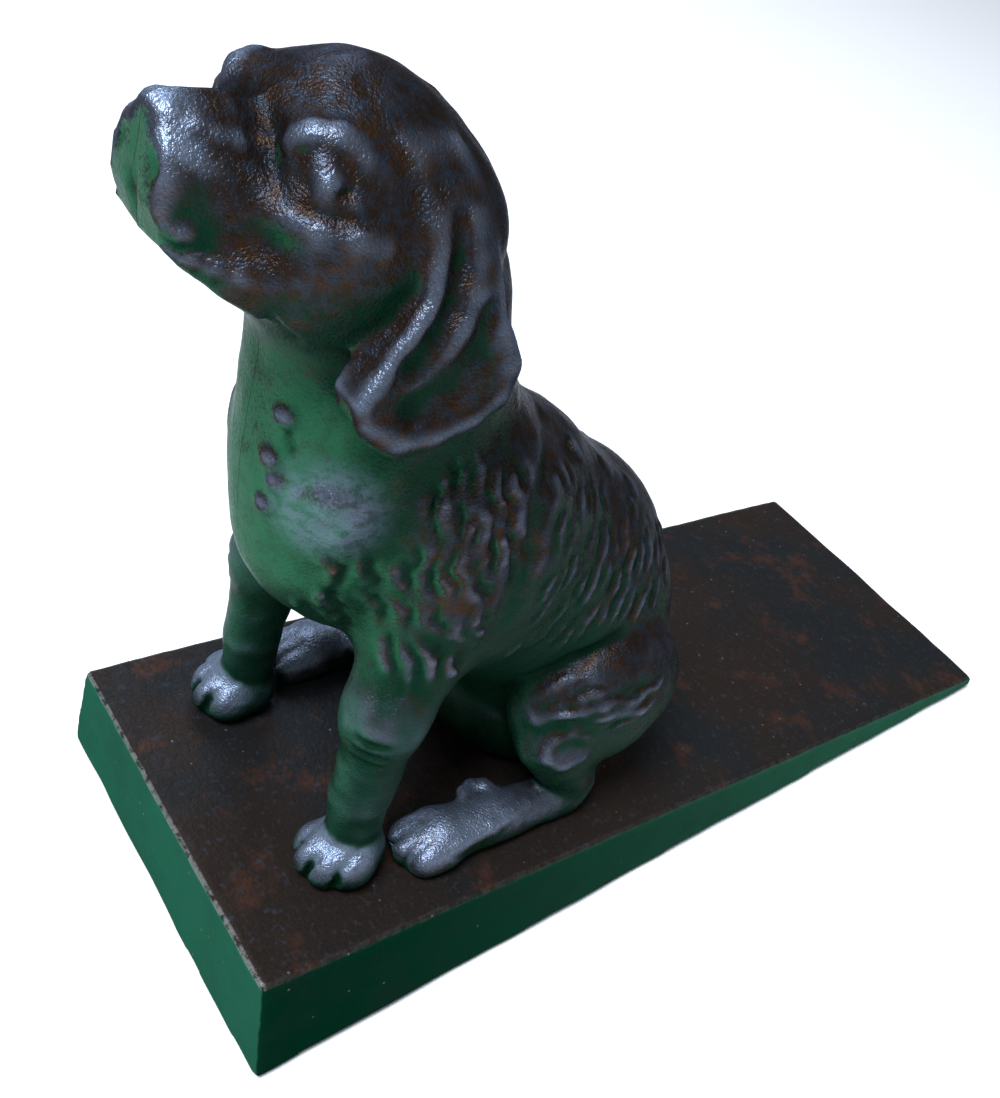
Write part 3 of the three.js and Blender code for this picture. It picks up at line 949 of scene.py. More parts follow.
def add_node(tree: bpy.types.NodeTree, kind: str, inputs: Optional[dict] = None,
             **settings: object) -> bpy.types.Node:
    """Adds a node, sets its properties and fills or links its inputs.

    Args:
        tree: The node tree.
        kind: The node's type name.
        inputs: Values or sockets by input name or index.
        **settings: Properties to set on the node.

    Returns:
        The node.
    """
    made = tree.nodes.new(kind)
    for name, value in settings.items():
        setattr(made, name, value)
    for key, value in (inputs or {}).items():
        socket = made.inputs[key]
        if isinstance(value, bpy.types.NodeSocket):
            tree.links.new(value, socket)
        else:
            socket.default_value = value
    return made


class Shade:
    """A material being built: short ways to the few patterns that the finishes share."""

    def __init__(self, name: str) -> None:
        """Starts an empty node material called `name`."""
        self.material = bpy.data.materials.new(name)
        self.material.use_nodes = True
        self.tree = self.material.node_tree
        self.tree.nodes.clear()
        self.origin = add_node(self.tree, "ShaderNodeTexCoord")
        self.place = self.origin.outputs["Object"]

    def noise(self, size_mm: float, detail: float = 3.0,
              rough: float = 0.55) -> bpy.types.NodeSocket:
        """Gives noise whose blotches are about `size_mm` across."""
        made = add_node(self.tree, "ShaderNodeTexNoise",
                        {"Vector": self.place, "Scale": 1.0 / (size_mm * MM),
                         "Detail": detail, "Roughness": rough})
        return made.outputs["Fac"]

    def cells(self, size_mm: float) -> bpy.types.NodeSocket:
        """Gives the distance to the nearest of points about `size_mm` apart."""
        made = add_node(self.tree, "ShaderNodeTexVoronoi",
                        {"Vector": self.place, "Scale": 1.0 / (size_mm * MM)})
        return made.outputs["Distance"]

    def span(self, value: bpy.types.NodeSocket, band: Band,
             onto: Band = (0.0, 1.0)) -> bpy.types.NodeSocket:
        """Maps a band of values smoothly onto another."""
        made = add_node(self.tree, "ShaderNodeMapRange",
                        {"Value": value, "From Min": band[0], "From Max": band[1],
                         "To Min": onto[0], "To Max": onto[1]}, interpolation_type="SMOOTHSTEP")
        return made.outputs["Result"]

    def along(self, axis: str, band_mm: Band, onto: Band = (0.0, 1.0)) -> bpy.types.NodeSocket:
        """Maps a stretch of one of the object's axes, in millimetres, onto a band."""
        parts = add_node(self.tree, "ShaderNodeSeparateXYZ", {0: self.place})
        return self.span(parts.outputs[axis], (band_mm[0] * MM, band_mm[1] * MM), onto)

    def near(self, point_mm: Point, band_mm: Band, onto: Band) -> bpy.types.NodeSocket:
        """Maps the distance from a point of the object, in millimetres, onto a band."""
        point = tuple(c * MM for c in point_mm)
        gap = add_node(self.tree, "ShaderNodeVectorMath", {0: self.place, 1: point},
                       operation="DISTANCE")
        return self.span(gap.outputs["Value"], (band_mm[0] * MM, band_mm[1] * MM), onto)

    def math(self, operation: str, a: object, b: object) -> bpy.types.NodeSocket:
        """Joins two numbers by a Math node's operation."""
        return add_node(self.tree, "ShaderNodeMath", {0: a, 1: b}, operation=operation).outputs[0]

    def total(self, *parts: object) -> bpy.types.NodeSocket:
        """Adds numbers up."""
        return functools.reduce(lambda a, b: self.math("ADD", a, b), parts)

    def times(self, *parts: object) -> bpy.types.NodeSocket:
        """Multiplies numbers."""
        return functools.reduce(lambda a, b: self.math("MULTIPLY", a, b), parts)

    def most(self, *parts: object) -> bpy.types.NodeSocket:
        """Gives the largest of several numbers."""
        return functools.reduce(lambda a, b: self.math("MAXIMUM", a, b), parts)

    def mix(self, share: object, under: object, over: object) -> bpy.types.NodeSocket:
        """Lays one colour over another; a hex string is an sRGB colour."""
        under, over = (linear(c) if isinstance(c, str) else c for c in (under, over))
        made = add_node(self.tree, "ShaderNodeMix", data_type="RGBA")
        for socket, value in zip((made.inputs[0], made.inputs[6], made.inputs[7]),
                                 (share, under, over)):
            if isinstance(value, bpy.types.NodeSocket):
                self.tree.links.new(value, socket)
            else:
                socket.default_value = value
        return made.outputs[2]

    def facing(self, axis: str) -> bpy.types.NodeSocket:
        """Gives how far the surface faces along one of the object's own axes."""
        parts = add_node(self.tree, "ShaderNodeSeparateXYZ", {0: self.origin.outputs["Normal"]})
        return parts.outputs[axis]

    def attribute(self, name: str) -> bpy.types.NodeSocket:
        """Reads a number that the mesh carries at each point."""
        made = add_node(self.tree, "ShaderNodeAttribute", attribute_name=name)
        return made.outputs["Fac"]

    def bump(self, height: bpy.types.NodeSocket, depth_mm: float,
             over: Optional[bpy.types.NodeSocket] = None) -> bpy.types.NodeSocket:
        """Tilts the surface by a height pattern `depth_mm` deep."""
        inputs = {"Height": height, "Distance": depth_mm * MM}
        if over is not None:
            inputs["Normal"] = over
        return add_node(self.tree, "ShaderNodeBump", inputs).outputs[0]

    def finish(self, **inputs: object) -> bpy.types.Material:
        """Ends the material in a Principled shader.

        Args:
            **inputs: The shader's inputs, with underscores for spaces.

        Returns:
            The material.
        """
        named = {name.replace("_", " "): value for name, value in inputs.items()}
        shader = add_node(self.tree, "ShaderNodeBsdfPrincipled", named)
        add_node(self.tree, "ShaderNodeOutputMaterial", {"Surface": shader.outputs[0]})
        return self.material


# ---- finishes -------------------------------------------------------------------------------


@dataclass(frozen=True)
class Grain:
    """The patterns that every layer of the hound's finish follows."""

    up: bpy.types.NodeSocket
    blotch: bpy.types.NodeSocket
    fine: bpy.types.NodeSocket
    grit: bpy.types.NodeSocket
    relief: bpy.types.NodeSocket


@dataclass(frozen=True)
class HoundIronWithPaintedLight:
    """Sand-cast iron under an old bronze-brown lacquer, with a painted green reflection and ridges
    bright with wear.

    The green is a painted reflection of green surroundings: it lies where the iron faces down or
    forward, and the brown on what faces up and on the head. The ridges carry wear and a painted
    highlight, the paws, the muzzle top and a patch of the chest carry painted highlights, and the
    hollows painted shade. The sand mould leaves a fine grit that breaks each highlight into glints.
    """

    name: str = "sand_cast_iron_painted_green_reflection"
    brown: str = "302620"
    rust: str = "43301f"
    slate: str = "2f353d"
    # The green and the deep green are a painted reflection of green surroundings, lit and in
    # painted shade.
    green: str = "2c6446"
    deep_green: str = "0d3021"
    # A painted highlight colour, which also stands for iron bright with wear on the ridges.
    worn_and_highlight: str = "8897ad"
    # Painted shade for the hollows.
    hollow_shade: str = "070b09"
    sheen: str = "838b96"
    gloss: float = 0.06
    blotch_mm: float = 6.0
    fine_mm: float = 1.4
    grit_mm: float = 0.32
    grit_depth_mm: float = 0.15
    lumps_mm: float = 1.2
    lumps_depth_mm: float = 0.12
    # Where the painted green reflection gives way to brown, from a score of facing, height and
    # chance.
    reflection_share: Band = (0.62, 0.10)
    head_z: Band = (86.0, 93.0)
    muzzle_front_y: Band = (-76.5, -74.0)
    head_brown: float = 0.45
    shoulder_at: Point = (15.0, -50.5, 67.8)
    shoulder_reach: Band = (15.0, 6.0)
    shoulder_brown: float = 0.30
    forelegs_z: Band = (58.0, 50.0)
    forelegs_y: Band = (-48.0, -54.0)
    forelegs_green: float = 0.35
    # Where the painted green reflection darkens into painted shade: on the legs and on the head.
    legs_z: Band = (66.0, 48.0)
    legs_dim: float = 0.60
    jaw_z: Band = (84.0, 90.0)
    jaw_dim: float = 0.25
    # Where the ridges show wear and a painted highlight, and where painted highlights lie on the
    # paws, the muzzle top and the chest.
    ridge_worn_and_highlight: float = 0.42
    paws_z: Band = (32.0, 27.0)
    paws_y: Band = (-30.0, -36.0)
    paws_highlight: Band = (0.25, 0.65)
    muzzle_top_y: Band = (-73.8, -78.5)
    muzzle_top_highlight: float = 0.8
    chest_at: Point = (9.5, -63.4, 74.6)
    chest_reach: Band = (8.0, 3.5)
    chest_highlight: Band = (0.12, 0.34)

    def wander(self, s: Shade, g: Grain) -> bpy.types.NodeSocket:
        """Gives how far the edges of the colours wander, from blotches, grit and relief."""
        return s.total(s.times(s.math("SUBTRACT", g.blotch, 0.5), 1.1),
                       s.times(s.math("SUBTRACT", g.grit, 0.5), 0.9),
                       s.times(g.relief, 1.6))

    def green_reflection_share(self, s: Shade, g: Grain,
                    wander: bpy.types.NodeSocket) -> bpy.types.NodeSocket:
        """Gives how much of the surface carries the painted green reflection."""
        head = s.times(s.along("Z", self.head_z), s.along("Y", self.muzzle_front_y))
        shoulder = s.near(self.shoulder_at, self.shoulder_reach, (0.0, self.shoulder_brown))
        forelegs = s.times(s.along("Z", self.forelegs_z),
                           s.along("Y", self.forelegs_y, (0.0, self.forelegs_green)))
        score = s.total(g.up, wander, s.times(head, self.head_brown), shoulder)
        return s.span(s.math("SUBTRACT", score, forelegs), self.reflection_share)

    def brown_coat(self, s: Shade, g: Grain) -> bpy.types.NodeSocket:
        """Mixes the brown, with rust in the blotches and slate in the fine ones."""
        rusty = s.mix(s.span(g.blotch, (0.48, 0.72)), self.brown, self.rust)
        return s.mix(s.span(g.fine, (0.38, 0.68)), rusty, self.slate)

    def green_reflection_colour(self, s: Shade, g: Grain,
                   wander: bpy.types.NodeSocket) -> bpy.types.NodeSocket:
        """Mixes the painted green reflection: lit on what faces forward, in painted shade
        elsewhere, flecked with brown.
        """
        # Painted light: the green is lighter where the surface faces forward, towards the light.
        lit = s.total(s.times(g.up, 0.3), s.times(wander, 0.5), s.times(s.facing("Y"), -1.1))
        # Painted shade: the green reflection is darker on the legs and the jaw.
        dim = s.total(s.along("Z", self.legs_z, (0.0, self.legs_dim)),
                      s.along("Z", self.jaw_z, (0.0, self.jaw_dim)))
        share = s.span(s.math("SUBTRACT", lit, dim), (0.25, 1.05))
        green = s.mix(share, self.deep_green, self.green)
        return s.mix(s.span(g.fine, (0.50, 0.72), (0.0, 0.35)), green, self.brown)

    def worn_and_highlight_share(self, s: Shade, g: Grain) -> bpy.types.NodeSocket:
        """Gives the share of wear and painted highlight: ridges with both, and painted highlights
        on the paws, muzzle top and a patch of the chest.
        """
        ridges = s.times(s.span(g.relief, (0.02, 0.40)), s.span(g.up, (-0.3, 0.5)))
        paws = s.times(s.along("Z", self.paws_z), s.span(g.up, (0.1, 0.7)),
                       s.along("Y", self.paws_y, self.paws_highlight))
        muzzle = s.times(s.along("Y", self.muzzle_top_y, (0.0, self.muzzle_top_highlight)),
                         s.span(g.up, (0.35, 0.7)))
        chest = s.times(s.near(self.chest_at, self.chest_reach, (0.0, 1.0)),
                        s.span(g.fine, (0.35, 0.60), self.chest_highlight))
        paw_and_muzzle_highlight = s.times(s.most(paws, muzzle), s.span(g.fine, (0.3, 0.5), (0.6, 1.0)))
        return s.most(s.times(ridges, self.ridge_worn_and_highlight), paw_and_muzzle_highlight, chest)

    def build(self) -> bpy.types.Material:
        """Builds the material."""
        s = Shade(self.name)
        g = Grain(s.facing("Z"), s.noise(self.blotch_mm, 4.0), s.noise(self.fine_mm, 4.0, 0.65),
                  s.noise(self.grit_mm, 2.0, 0.6), s.attribute("relief"))
        wander = self.wander(s, g)
        reflection_share = self.green_reflection_share(s, g, wander)
        worn_and_highlight_mask = self.worn_and_highlight_share(s, g)
        colour = s.mix(reflection_share, self.brown_coat(s, g), self.green_reflection_colour(s, g, wander))
        # Ridges bright with wear and a painted highlight; painted highlights on the paws, muzzle
        # top and chest.
        colour = s.mix(worn_and_highlight_mask, colour, self.worn_and_highlight)
        # Painted shade: the hollows are darkened where the relief sinks.
        colour = s.mix(s.span(g.relief, (-0.04, -0.28), (0.0, 0.35)), colour, self.hollow_shade)
        metal = s.most(s.span(reflection_share, (0.0, 1.0), (0.75, 0.30)), worn_and_highlight_mask)
        rough = s.span(g.grit, (0.35, 0.65), (0.28, 0.42))
        tilt = s.bump(g.grit, self.grit_depth_mm)
        tilt = s.bump(s.noise(self.lumps_mm, 2.0), self.lumps_depth_mm, tilt)
        return s.finish(Base_Color=colour, Metallic=metal, Roughness=rough, Normal=tilt,
                        Specular_IOR_Level=self.gloss, Specular_Tint=linear(self.sheen))


@dataclass(frozen=True)
class WedgeIron:
    """The same iron cast flat: blue-black lacquer with rust blooming through, and a painted green
    reflection on its sides.
    """

    name: str = "sand_cast_iron_flat"
    black: str = "232526"
    umber: str = "2b2521"
    rust: str = "3f2c24"
    slate: str = "353c47"
    # The sides' greens are a painted reflection: lit on the front face, in painted shade on the
    # long sides.
    green: str = "205641"
    deep_green: str = "03291b"
    thin_end_green_reflection: str = "2a5944"
    fleck: str = "7b7468"
    # Edges bright with wear and a painted highlight.
    worn_and_highlight: str = "7f817d"
    cloud_mm: float = 26.0
    bloom_mm: float = 9.0
    bloom_depth_mm: float = 0.10
    fine_mm: float = 1.2
    grit_mm: float = 0.6
    grit_depth_mm: float = 0.10
    flecks_mm: float = 3.2
    length_y: Band = (-75.0, 75.0)

    def build(self) -> bpy.types.Material:
        """Builds the material: the top's coat, the sides' painted green reflection, flecks, and
        edges bright with wear and painted highlight.
        """
        s = Shade(self.name)
        up, forward = s.facing("Z"), s.facing("Y")
        bloom = s.noise(self.bloom_mm, 5.0, 0.7)
        fine = s.noise(self.fine_mm, 4.0, 0.7)
        grit = s.noise(self.grit_mm, 2.0, 0.6)
        top = s.mix(s.span(s.noise(self.cloud_mm, 4.0), (0.42, 0.6)), self.black, self.umber)
        top = s.mix(s.span(bloom, (0.53, 0.68)), top, self.rust)
        top = s.mix(s.span(fine, (0.55, 0.72), (0.0, 0.6)), top, self.slate)
        # Painted green reflection: in painted shade on the long sides, lighter towards the thin
        # end, lit on the front face.
        flank = s.mix(s.along("Y", self.length_y), self.deep_green, self.thin_end_green_reflection)
        sides = s.mix(s.span(forward, (-0.6, -0.9)), flank, self.green)
        sides = s.mix(s.span(bloom, (0.35, 0.75), (0.0, 0.25)), sides, self.black)
        reflection_share = s.span(up, (0.85, 0.45))
        colour = s.mix(reflection_share, top, sides)
        flecks = s.span(s.cells(self.flecks_mm), (0.07, 0.04), (0.0, 0.5))
        colour = s.mix(flecks, colour, self.fleck)
        # Edges bright with wear and a painted highlight, strongest where the edge faces up and
        # forward.
        edge = s.times(s.span(up, (0.35, 0.6)), s.span(up, (0.985, 0.95)),
                       s.span(fine, (0.36, 0.56)), s.span(forward, (-0.1, -0.5), (0.06, 0.6)))
        colour = s.mix(edge, colour, self.worn_and_highlight)
        tilt = s.bump(bloom, self.bloom_depth_mm, s.bump(grit, self.grit_depth_mm))
        return s.finish(Base_Color=colour, Metallic=s.span(reflection_share, (0.0, 1.0), (0.40, 0.0)),
                        Roughness=s.span(grit, (0.35, 0.65), (0.34, 0.55)), Normal=tilt,
                        Specular_IOR_Level=0.0)


@dataclass(frozen=True)
class ScrewSteel:
    """Turned mild steel gone dull, with fine turning marks."""

    name: str = "turned_steel_dulled"
    steel: str = "8a8782"
    stain: str = "4b4038"
    stain_mm: float = 1.5
    smear_mm: float = 0.3
    marks_mm: float = 0.25
    marks_depth_mm: float = 0.02

    def build(self) -> bpy.types.Material:
        """Builds the material."""
        s = Shade(self.name)
        stain = s.span(s.noise(self.stain_mm, 4.0), (0.48, 0.66))
        colour = s.mix(stain, self.steel, self.stain)
        rough = s.span(s.noise(self.smear_mm, 2.0), (0.3, 0.7), (0.3, 0.5))
        tilt = s.bump(s.noise(self.marks_mm, 2.0), self.marks_depth_mm)
        return s.finish(Base_Color=colour, Metallic=1.0, Roughness=rough, Normal=tilt)


@dataclass(frozen=True)
class SoleRubber:
    """Moulded black rubber with a dry bloom on it."""

    name: str = "moulded_rubber_black"
    black: str = "141415"
    bloom: str = "2a2a2b"
    bloom_mm: float = 5.0
    grain_mm: float = 0.4
    grain_depth_mm: float = 0.03
    rough: float = 0.85

    def build(self) -> bpy.types.Material:
        """Builds the material."""
        s = Shade(self.name)
        dusty = s.span(s.noise(self.bloom_mm, 4.0), (0.45, 0.7))
        colour = s.mix(dusty, self.black, self.bloom)
        tilt = s.bump(s.noise(self.grain_mm, 2.0), self.grain_depth_mm)
        return s.finish(Base_Color=colour, Roughness=self.rough, Normal=tilt)


# ---- pieces ---------------------------------------------------------------------------------


def mesh_object(name: str, points: np.ndarray, faces: np.ndarray, material: bpy.types.Material,
                numbers: Optional[dict[str, np.ndarray]] = None) -> bpy.types.Object:
    """Makes an object from arrays.

    Args:
        name: The object's name.
        points: Its vertices, in metres.
        faces: Its faces, each a row of the same number of corners.
        material: Its material.
        numbers: Named numbers for each vertex.

    Returns:
        The object, linked to the scene.
    """
    mesh = bpy.data.meshes.new(name)
    mesh.vertices.add(len(points))
    mesh.vertices.foreach_set("co", points.astype(np.float32).ravel())
    corners = faces.shape[1]
    mesh.loops.add(faces.size)
    mesh.loops.foreach_set("vertex_index", faces.astype(np.int32).ravel())
    mesh.polygons.add(len(faces))
    mesh.polygons.foreach_set("loop_start", np.arange(0, faces.size, corners, dtype=np.int32))
    mesh.update(calc_edges=True)
    mesh.validate()
    for key, values in (numbers or {}).items():
        layer = mesh.attributes.new(key, "FLOAT", "POINT")
        layer.data.foreach_set("value", values.astype(np.float32))
    mesh.materials.append(material)
    mesh.shade_smooth()
    made = bpy.data.objects.new(name, mesh)
    bpy.context.scene.collection.objects.link(made)
    return made


def smooth_by_angle(piece: bpy.types.Object, degrees: float = 35.0) -> None:
    """Shades a piece smooth, with its edges sharper than an angle left crisp."""
    mesh = piece.data
    mesh.shade_smooth()
    mesh.set_sharp_from_angle(angle=math.radians(degrees))


def dress(piece: bpy.types.Object, slot: str, *nodes: str) -> None:
    """Puts a finished piece on the object: its body and its CAD nodes."""
    if nodes:
        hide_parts(*nodes)
    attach(piece, "root")
    LOG.info("%s: %d faces", piece.name, len(piece.data.polygons))


# ---- geometry nodes -------------------------------------------------------------------------


class Recipe:
    """A Geometry Nodes tree with named inputs, built link by link."""

    def __init__(self, name: str, sizes: dict[str, float]) -> None:
        """Starts a tree with a float input for each named size."""
        self.tree = bpy.data.node_groups.new(name, "GeometryNodeTree")
        face = self.tree.interface
        face.new_socket("Geometry", in_out="INPUT", socket_type="NodeSocketGeometry")
        for size, value in sizes.items():
            socket = face.new_socket(size, in_out="INPUT", socket_type="NodeSocketFloat")
            socket.default_value = value
        face.new_socket("Geometry", in_out="OUTPUT", socket_type="NodeSocketGeometry")
        self.source = add_node(self.tree, "NodeGroupInput").outputs
        self.sizes = sizes

    def add(self, kind: str, inputs: Optional[dict] = None, **settings) -> bpy.types.Node:
        """Adds a node to the tree."""
        return add_node(self.tree, kind, inputs, **settings)

    def math(self, operation: str, a: object, b: object = 0.0) -> bpy.types.NodeSocket:
        """Joins two numbers."""
        return self.add("ShaderNodeMath", {0: a, 1: b}, operation=operation).outputs[0]

    def vector(self, x: object = 0.0, y: object = 0.0, z: object = 0.0) -> bpy.types.NodeSocket:
        """Joins three numbers into a vector."""
        return self.add("ShaderNodeCombineXYZ", {0: x, 1: y, 2: z}).outputs[0]

    def place(self) -> tuple[bpy.types.NodeSocket, ...]:
        """Gives the x, y and z of each point."""
        position = self.add("GeometryNodeInputPosition").outputs[0]
        return tuple(self.add("ShaderNodeSeparateXYZ", {0: position}).outputs)

    def boolean(self, operation: str, first: Optional[bpy.types.NodeSocket],
                *others: bpy.types.NodeSocket) -> bpy.types.NodeSocket:
        """Cuts the others out of the first, or joins the others when there is no first."""
        made = self.add("GeometryNodeMeshBoolean", operation=operation, solver="EXACT")
        if first is not None:
            self.tree.links.new(first, made.inputs[0])
        for other in others:
            self.tree.links.new(other, made.inputs[1])
        return made.outputs[0]

    def move(self, geometry: bpy.types.NodeSocket,
             by: bpy.types.NodeSocket) -> bpy.types.NodeSocket:
        """Moves a geometry as a whole."""
        inputs = {"Geometry": geometry, "Translation": by}
        return self.add("GeometryNodeTransform", inputs).outputs[0]

    def draw_in(self, geometry: bpy.types.NodeSocket,
                share: bpy.types.NodeSocket) -> bpy.types.NodeSocket:
        """Draws each point in to the z axis by a negative share of its distance from it."""
        x, y, _ = self.place()
        pull = self.vector(self.math("MULTIPLY", x, share), self.math("MULTIPLY", y, share))
        inputs = {"Geometry": geometry, "Offset": pull}
        return self.add("GeometryNodeSetPosition", inputs).outputs[0]

    def end(self, geometry: bpy.types.NodeSocket, material: bpy.types.Material) -> None:
        """Ends the tree in Realize Instances and Set Material."""
        real = self.add("GeometryNodeRealizeInstances", {"Geometry": geometry})
        dressed = self.add("GeometryNodeSetMaterial",
                           {"Geometry": real.outputs[0], "Material": material})
        self.add("NodeGroupOutput", {"Geometry": dressed.outputs[0]})

    def bake(self, piece: bpy.types.Object) -> None:
        """Runs the tree on a piece and leaves its result there as a plain mesh."""
        modifier = piece.modifiers.new(self.tree.name, "NODES")
        modifier.node_group = self.tree
        for item in self.tree.interface.items_tree:
            if item.in_out == "INPUT" and item.name in self.sizes:
                modifier[item.identifier] = self.sizes[item.name]
        ready = piece.evaluated_get(bpy.context.evaluated_depsgraph_get())
        mesh = bpy.data.meshes.new_from_object(ready)
        piece.modifiers.remove(modifier)
        piece.data = mesh


@dataclass
class MachineScrew:
    """A slotted cheese-head machine screw, drawn head down from z = 0 along +Z.

    Sizes are in millimetres. The thread is coarser than a real M4's 0.7 mm, so that it shows.
    """

    head_radius: float
    head_height: float
    shank_radius: float
    length: float
    pitch: float = 1.0
    depth: float = 0.32
    slot_width: float = 0.9
    slot_depth: float = 1.0
    rounded_share: float = 0.45
    rounding: float = 0.75
    segments_per_turn: int = 10

    def recipe(self, steel: bpy.types.Material) -> Recipe:
        """Builds the tree: a slotted head with a rounded edge, joined to a threaded shank."""
        r = Recipe("slotted_screw", {
            "Head Radius": self.head_radius * MM,
            "Head Height": self.head_height * MM,
            "Shank Radius": self.shank_radius * MM,
            "Shank Length": (self.length - self.head_height / 2) * MM,
            "Pitch": self.pitch * MM,
            "Depth": self.depth * MM,
            "Slot Width": self.slot_width * MM,
            "Slot Depth": self.slot_depth * MM,
        })
        slot = r.add("GeometryNodeMeshCube", {"Size": r.vector(
            r.source["Slot Width"], r.math("MULTIPLY", r.source["Head Radius"], 3.0),
            r.math("MULTIPLY", r.source["Slot Depth"], 2.0))}).outputs["Mesh"]
        head = r.boolean("DIFFERENCE", self.head(r), slot)
        r.end(r.boolean("UNION", None, head, self.shank(r)), steel)
        return r

    def head(self, r: Recipe) -> bpy.types.NodeSocket:
        """Builds the head: a cylinder with its outer edge rounded over."""
        size = r.source
        drum = r.add("GeometryNodeMeshCylinder",
                     {"Vertices": 48, "Side Segments": 10, "Radius": size["Head Radius"],
                      "Depth": size["Head Height"]})
        _, _, z = r.place()
        half = r.math("MULTIPLY", size["Head Height"], 0.5)
        rise = r.math("DIVIDE", r.math("ADD", z, half), size["Head Height"])
        short = r.math("MAXIMUM", r.math("SUBTRACT", self.rounded_share, rise), 0.0)
        share = r.math("MULTIPLY", r.math("POWER", short, 2.0), -self.rounding)
        return r.move(r.draw_in(drum.outputs["Mesh"], share), r.vector(z=half))

    def shank(self, r: Recipe) -> bpy.types.NodeSocket:
        """Builds the shank: a cylinder whose skin is drawn in along a helix."""
        size = r.source
        rings = int(self.segments_per_turn * self.length / self.pitch)
        rod = r.add("GeometryNodeMeshCylinder",
                    {"Vertices": 40, "Side Segments": rings, "Radius": size["Shank Radius"],
                     "Depth": size["Shank Length"]})
        x, y, z = r.place()
        angle = r.math("DIVIDE", r.math("ARCTAN2", y, x), 2 * math.pi)
        turns = r.math("FRACT", r.math("SUBTRACT", r.math("DIVIDE", z, size["Pitch"]), angle))
        wave = r.math("MULTIPLY", r.math("ABSOLUTE", r.math("SUBTRACT", turns, 0.5)), -2.0)
        share = r.math("DIVIDE", r.math("MULTIPLY", wave, size["Depth"]), size["Shank Radius"])
        span = r.math("ADD", size["Shank Length"], size["Head Height"])
        middle = r.vector(z=r.math("MULTIPLY", span, 0.5))
        return r.move(r.draw_in(rod.outputs["Mesh"], share), middle)

    def build(self, name: str, at: np.ndarray, along: np.ndarray,
              steel: bpy.types.Material) -> bpy.types.Object:
        """Makes the screw with its head's outer face at `at`, pointing `along`."""
        piece = bpy.data.objects.new(name, bpy.data.meshes.new(name))
        bpy.context.scene.collection.objects.link(piece)
        self.recipe(steel).bake(piece)
        turn = Vector((0, 0, 1)).rotation_difference(Vector(along)).to_matrix().to_4x4()
        piece.data.transform(Matrix.Translation(Vector(at)) @ turn)
        smooth_by_angle(piece)
        return piece


@dataclass
class Fasteners:
    """The screws and washers, each where its CAD node stands.

    The washer's profile goes round its wall in (radius, height), in millimetres: stamping leaves
    one edge rounded and the other sharp.
    """

    stand: Stand
    base_head: float = 3.6
    cross_head: float = 3.4
    head_height: float = 2.2
    base_shank: float = 2.0
    cross_shank: float = 1.9
    washer_profile: tuple[Band, ...] = (
        (2.35, -0.40), (4.25, -0.40), (4.4, -0.25), (4.4, 0.22), (4.22, 0.40), (2.55, 0.40),
        (2.35, 0.25),
    )
    washer_sides: int = 56

    def build(self, steel: bpy.types.Material) -> None:
        """Makes the cross screw, the base screws and their washers."""
        low, high = (np.array(c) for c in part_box("cross_screw"))
        middle = (low + high) / 2
        screw = MachineScrew(self.cross_head, self.head_height, self.cross_shank,
                             (high[0] - low[0]) / MM)
        head = np.array([low[0], middle[1], middle[2]])
        piece = screw.build("cross_screw_slotted", head, np.array([1.0, 0, 0]), steel)
        dress(piece, "screw_steel", "cross_screw")
        for side in ("left", "right"):
            self.build_base(side, steel)

    def build_base(self, side: str, steel: bpy.types.Material) -> None:
        """Makes one base screw and its washer, on the screw's own leaning axis."""
        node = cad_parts[f"base_screw_{side}"]
        points = np.array([v.co for v in node.data.vertices])
        run = points @ self.stand.up
        washer = np.mean(np.array(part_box(f"base_washer_{side}")), axis=0)
        start = washer + self.stand.up * (run.min() - washer @ self.stand.up)
        screw = MachineScrew(self.base_head, self.head_height, self.base_shank,
                             float(run.max() - run.min()) / MM)
        piece = screw.build(f"base_screw_slotted_{side}", start, self.stand.up, steel)
        dress(piece, "screw_steel", node.name)
        self.build_washer(side, washer, steel)

    def build_washer(self, side: str, middle: np.ndarray, steel: bpy.types.Material) -> None:
        """Makes a stamped washer by turning its profile round."""
        name = f"base_washer_{side}"
        points, faces = [], []
        count = len(self.washer_profile)
        for i in range(self.washer_sides):
            angle = 2 * math.pi * i / self.washer_sides
            points += [(r * math.cos(angle), r * math.sin(angle), h)
                       for r, h in self.washer_profile]
            a, b = i * count, (i + 1) % self.washer_sides * count
            faces += [(a + j, b + j, b + (j + 1) % count, a + (j + 1) % count)
                      for j in range(count)]
        turn = np.array(Vector((0, 0, 1)).rotation_difference(Vector(self.stand.up)).to_matrix())
        placed = np.array(points) @ turn.T * MM + middle
        piece = mesh_object(f"{name}_stamped", placed, np.array(faces), steel)
        smooth_by_angle(piece)
        dress(piece, "screw_steel", name)


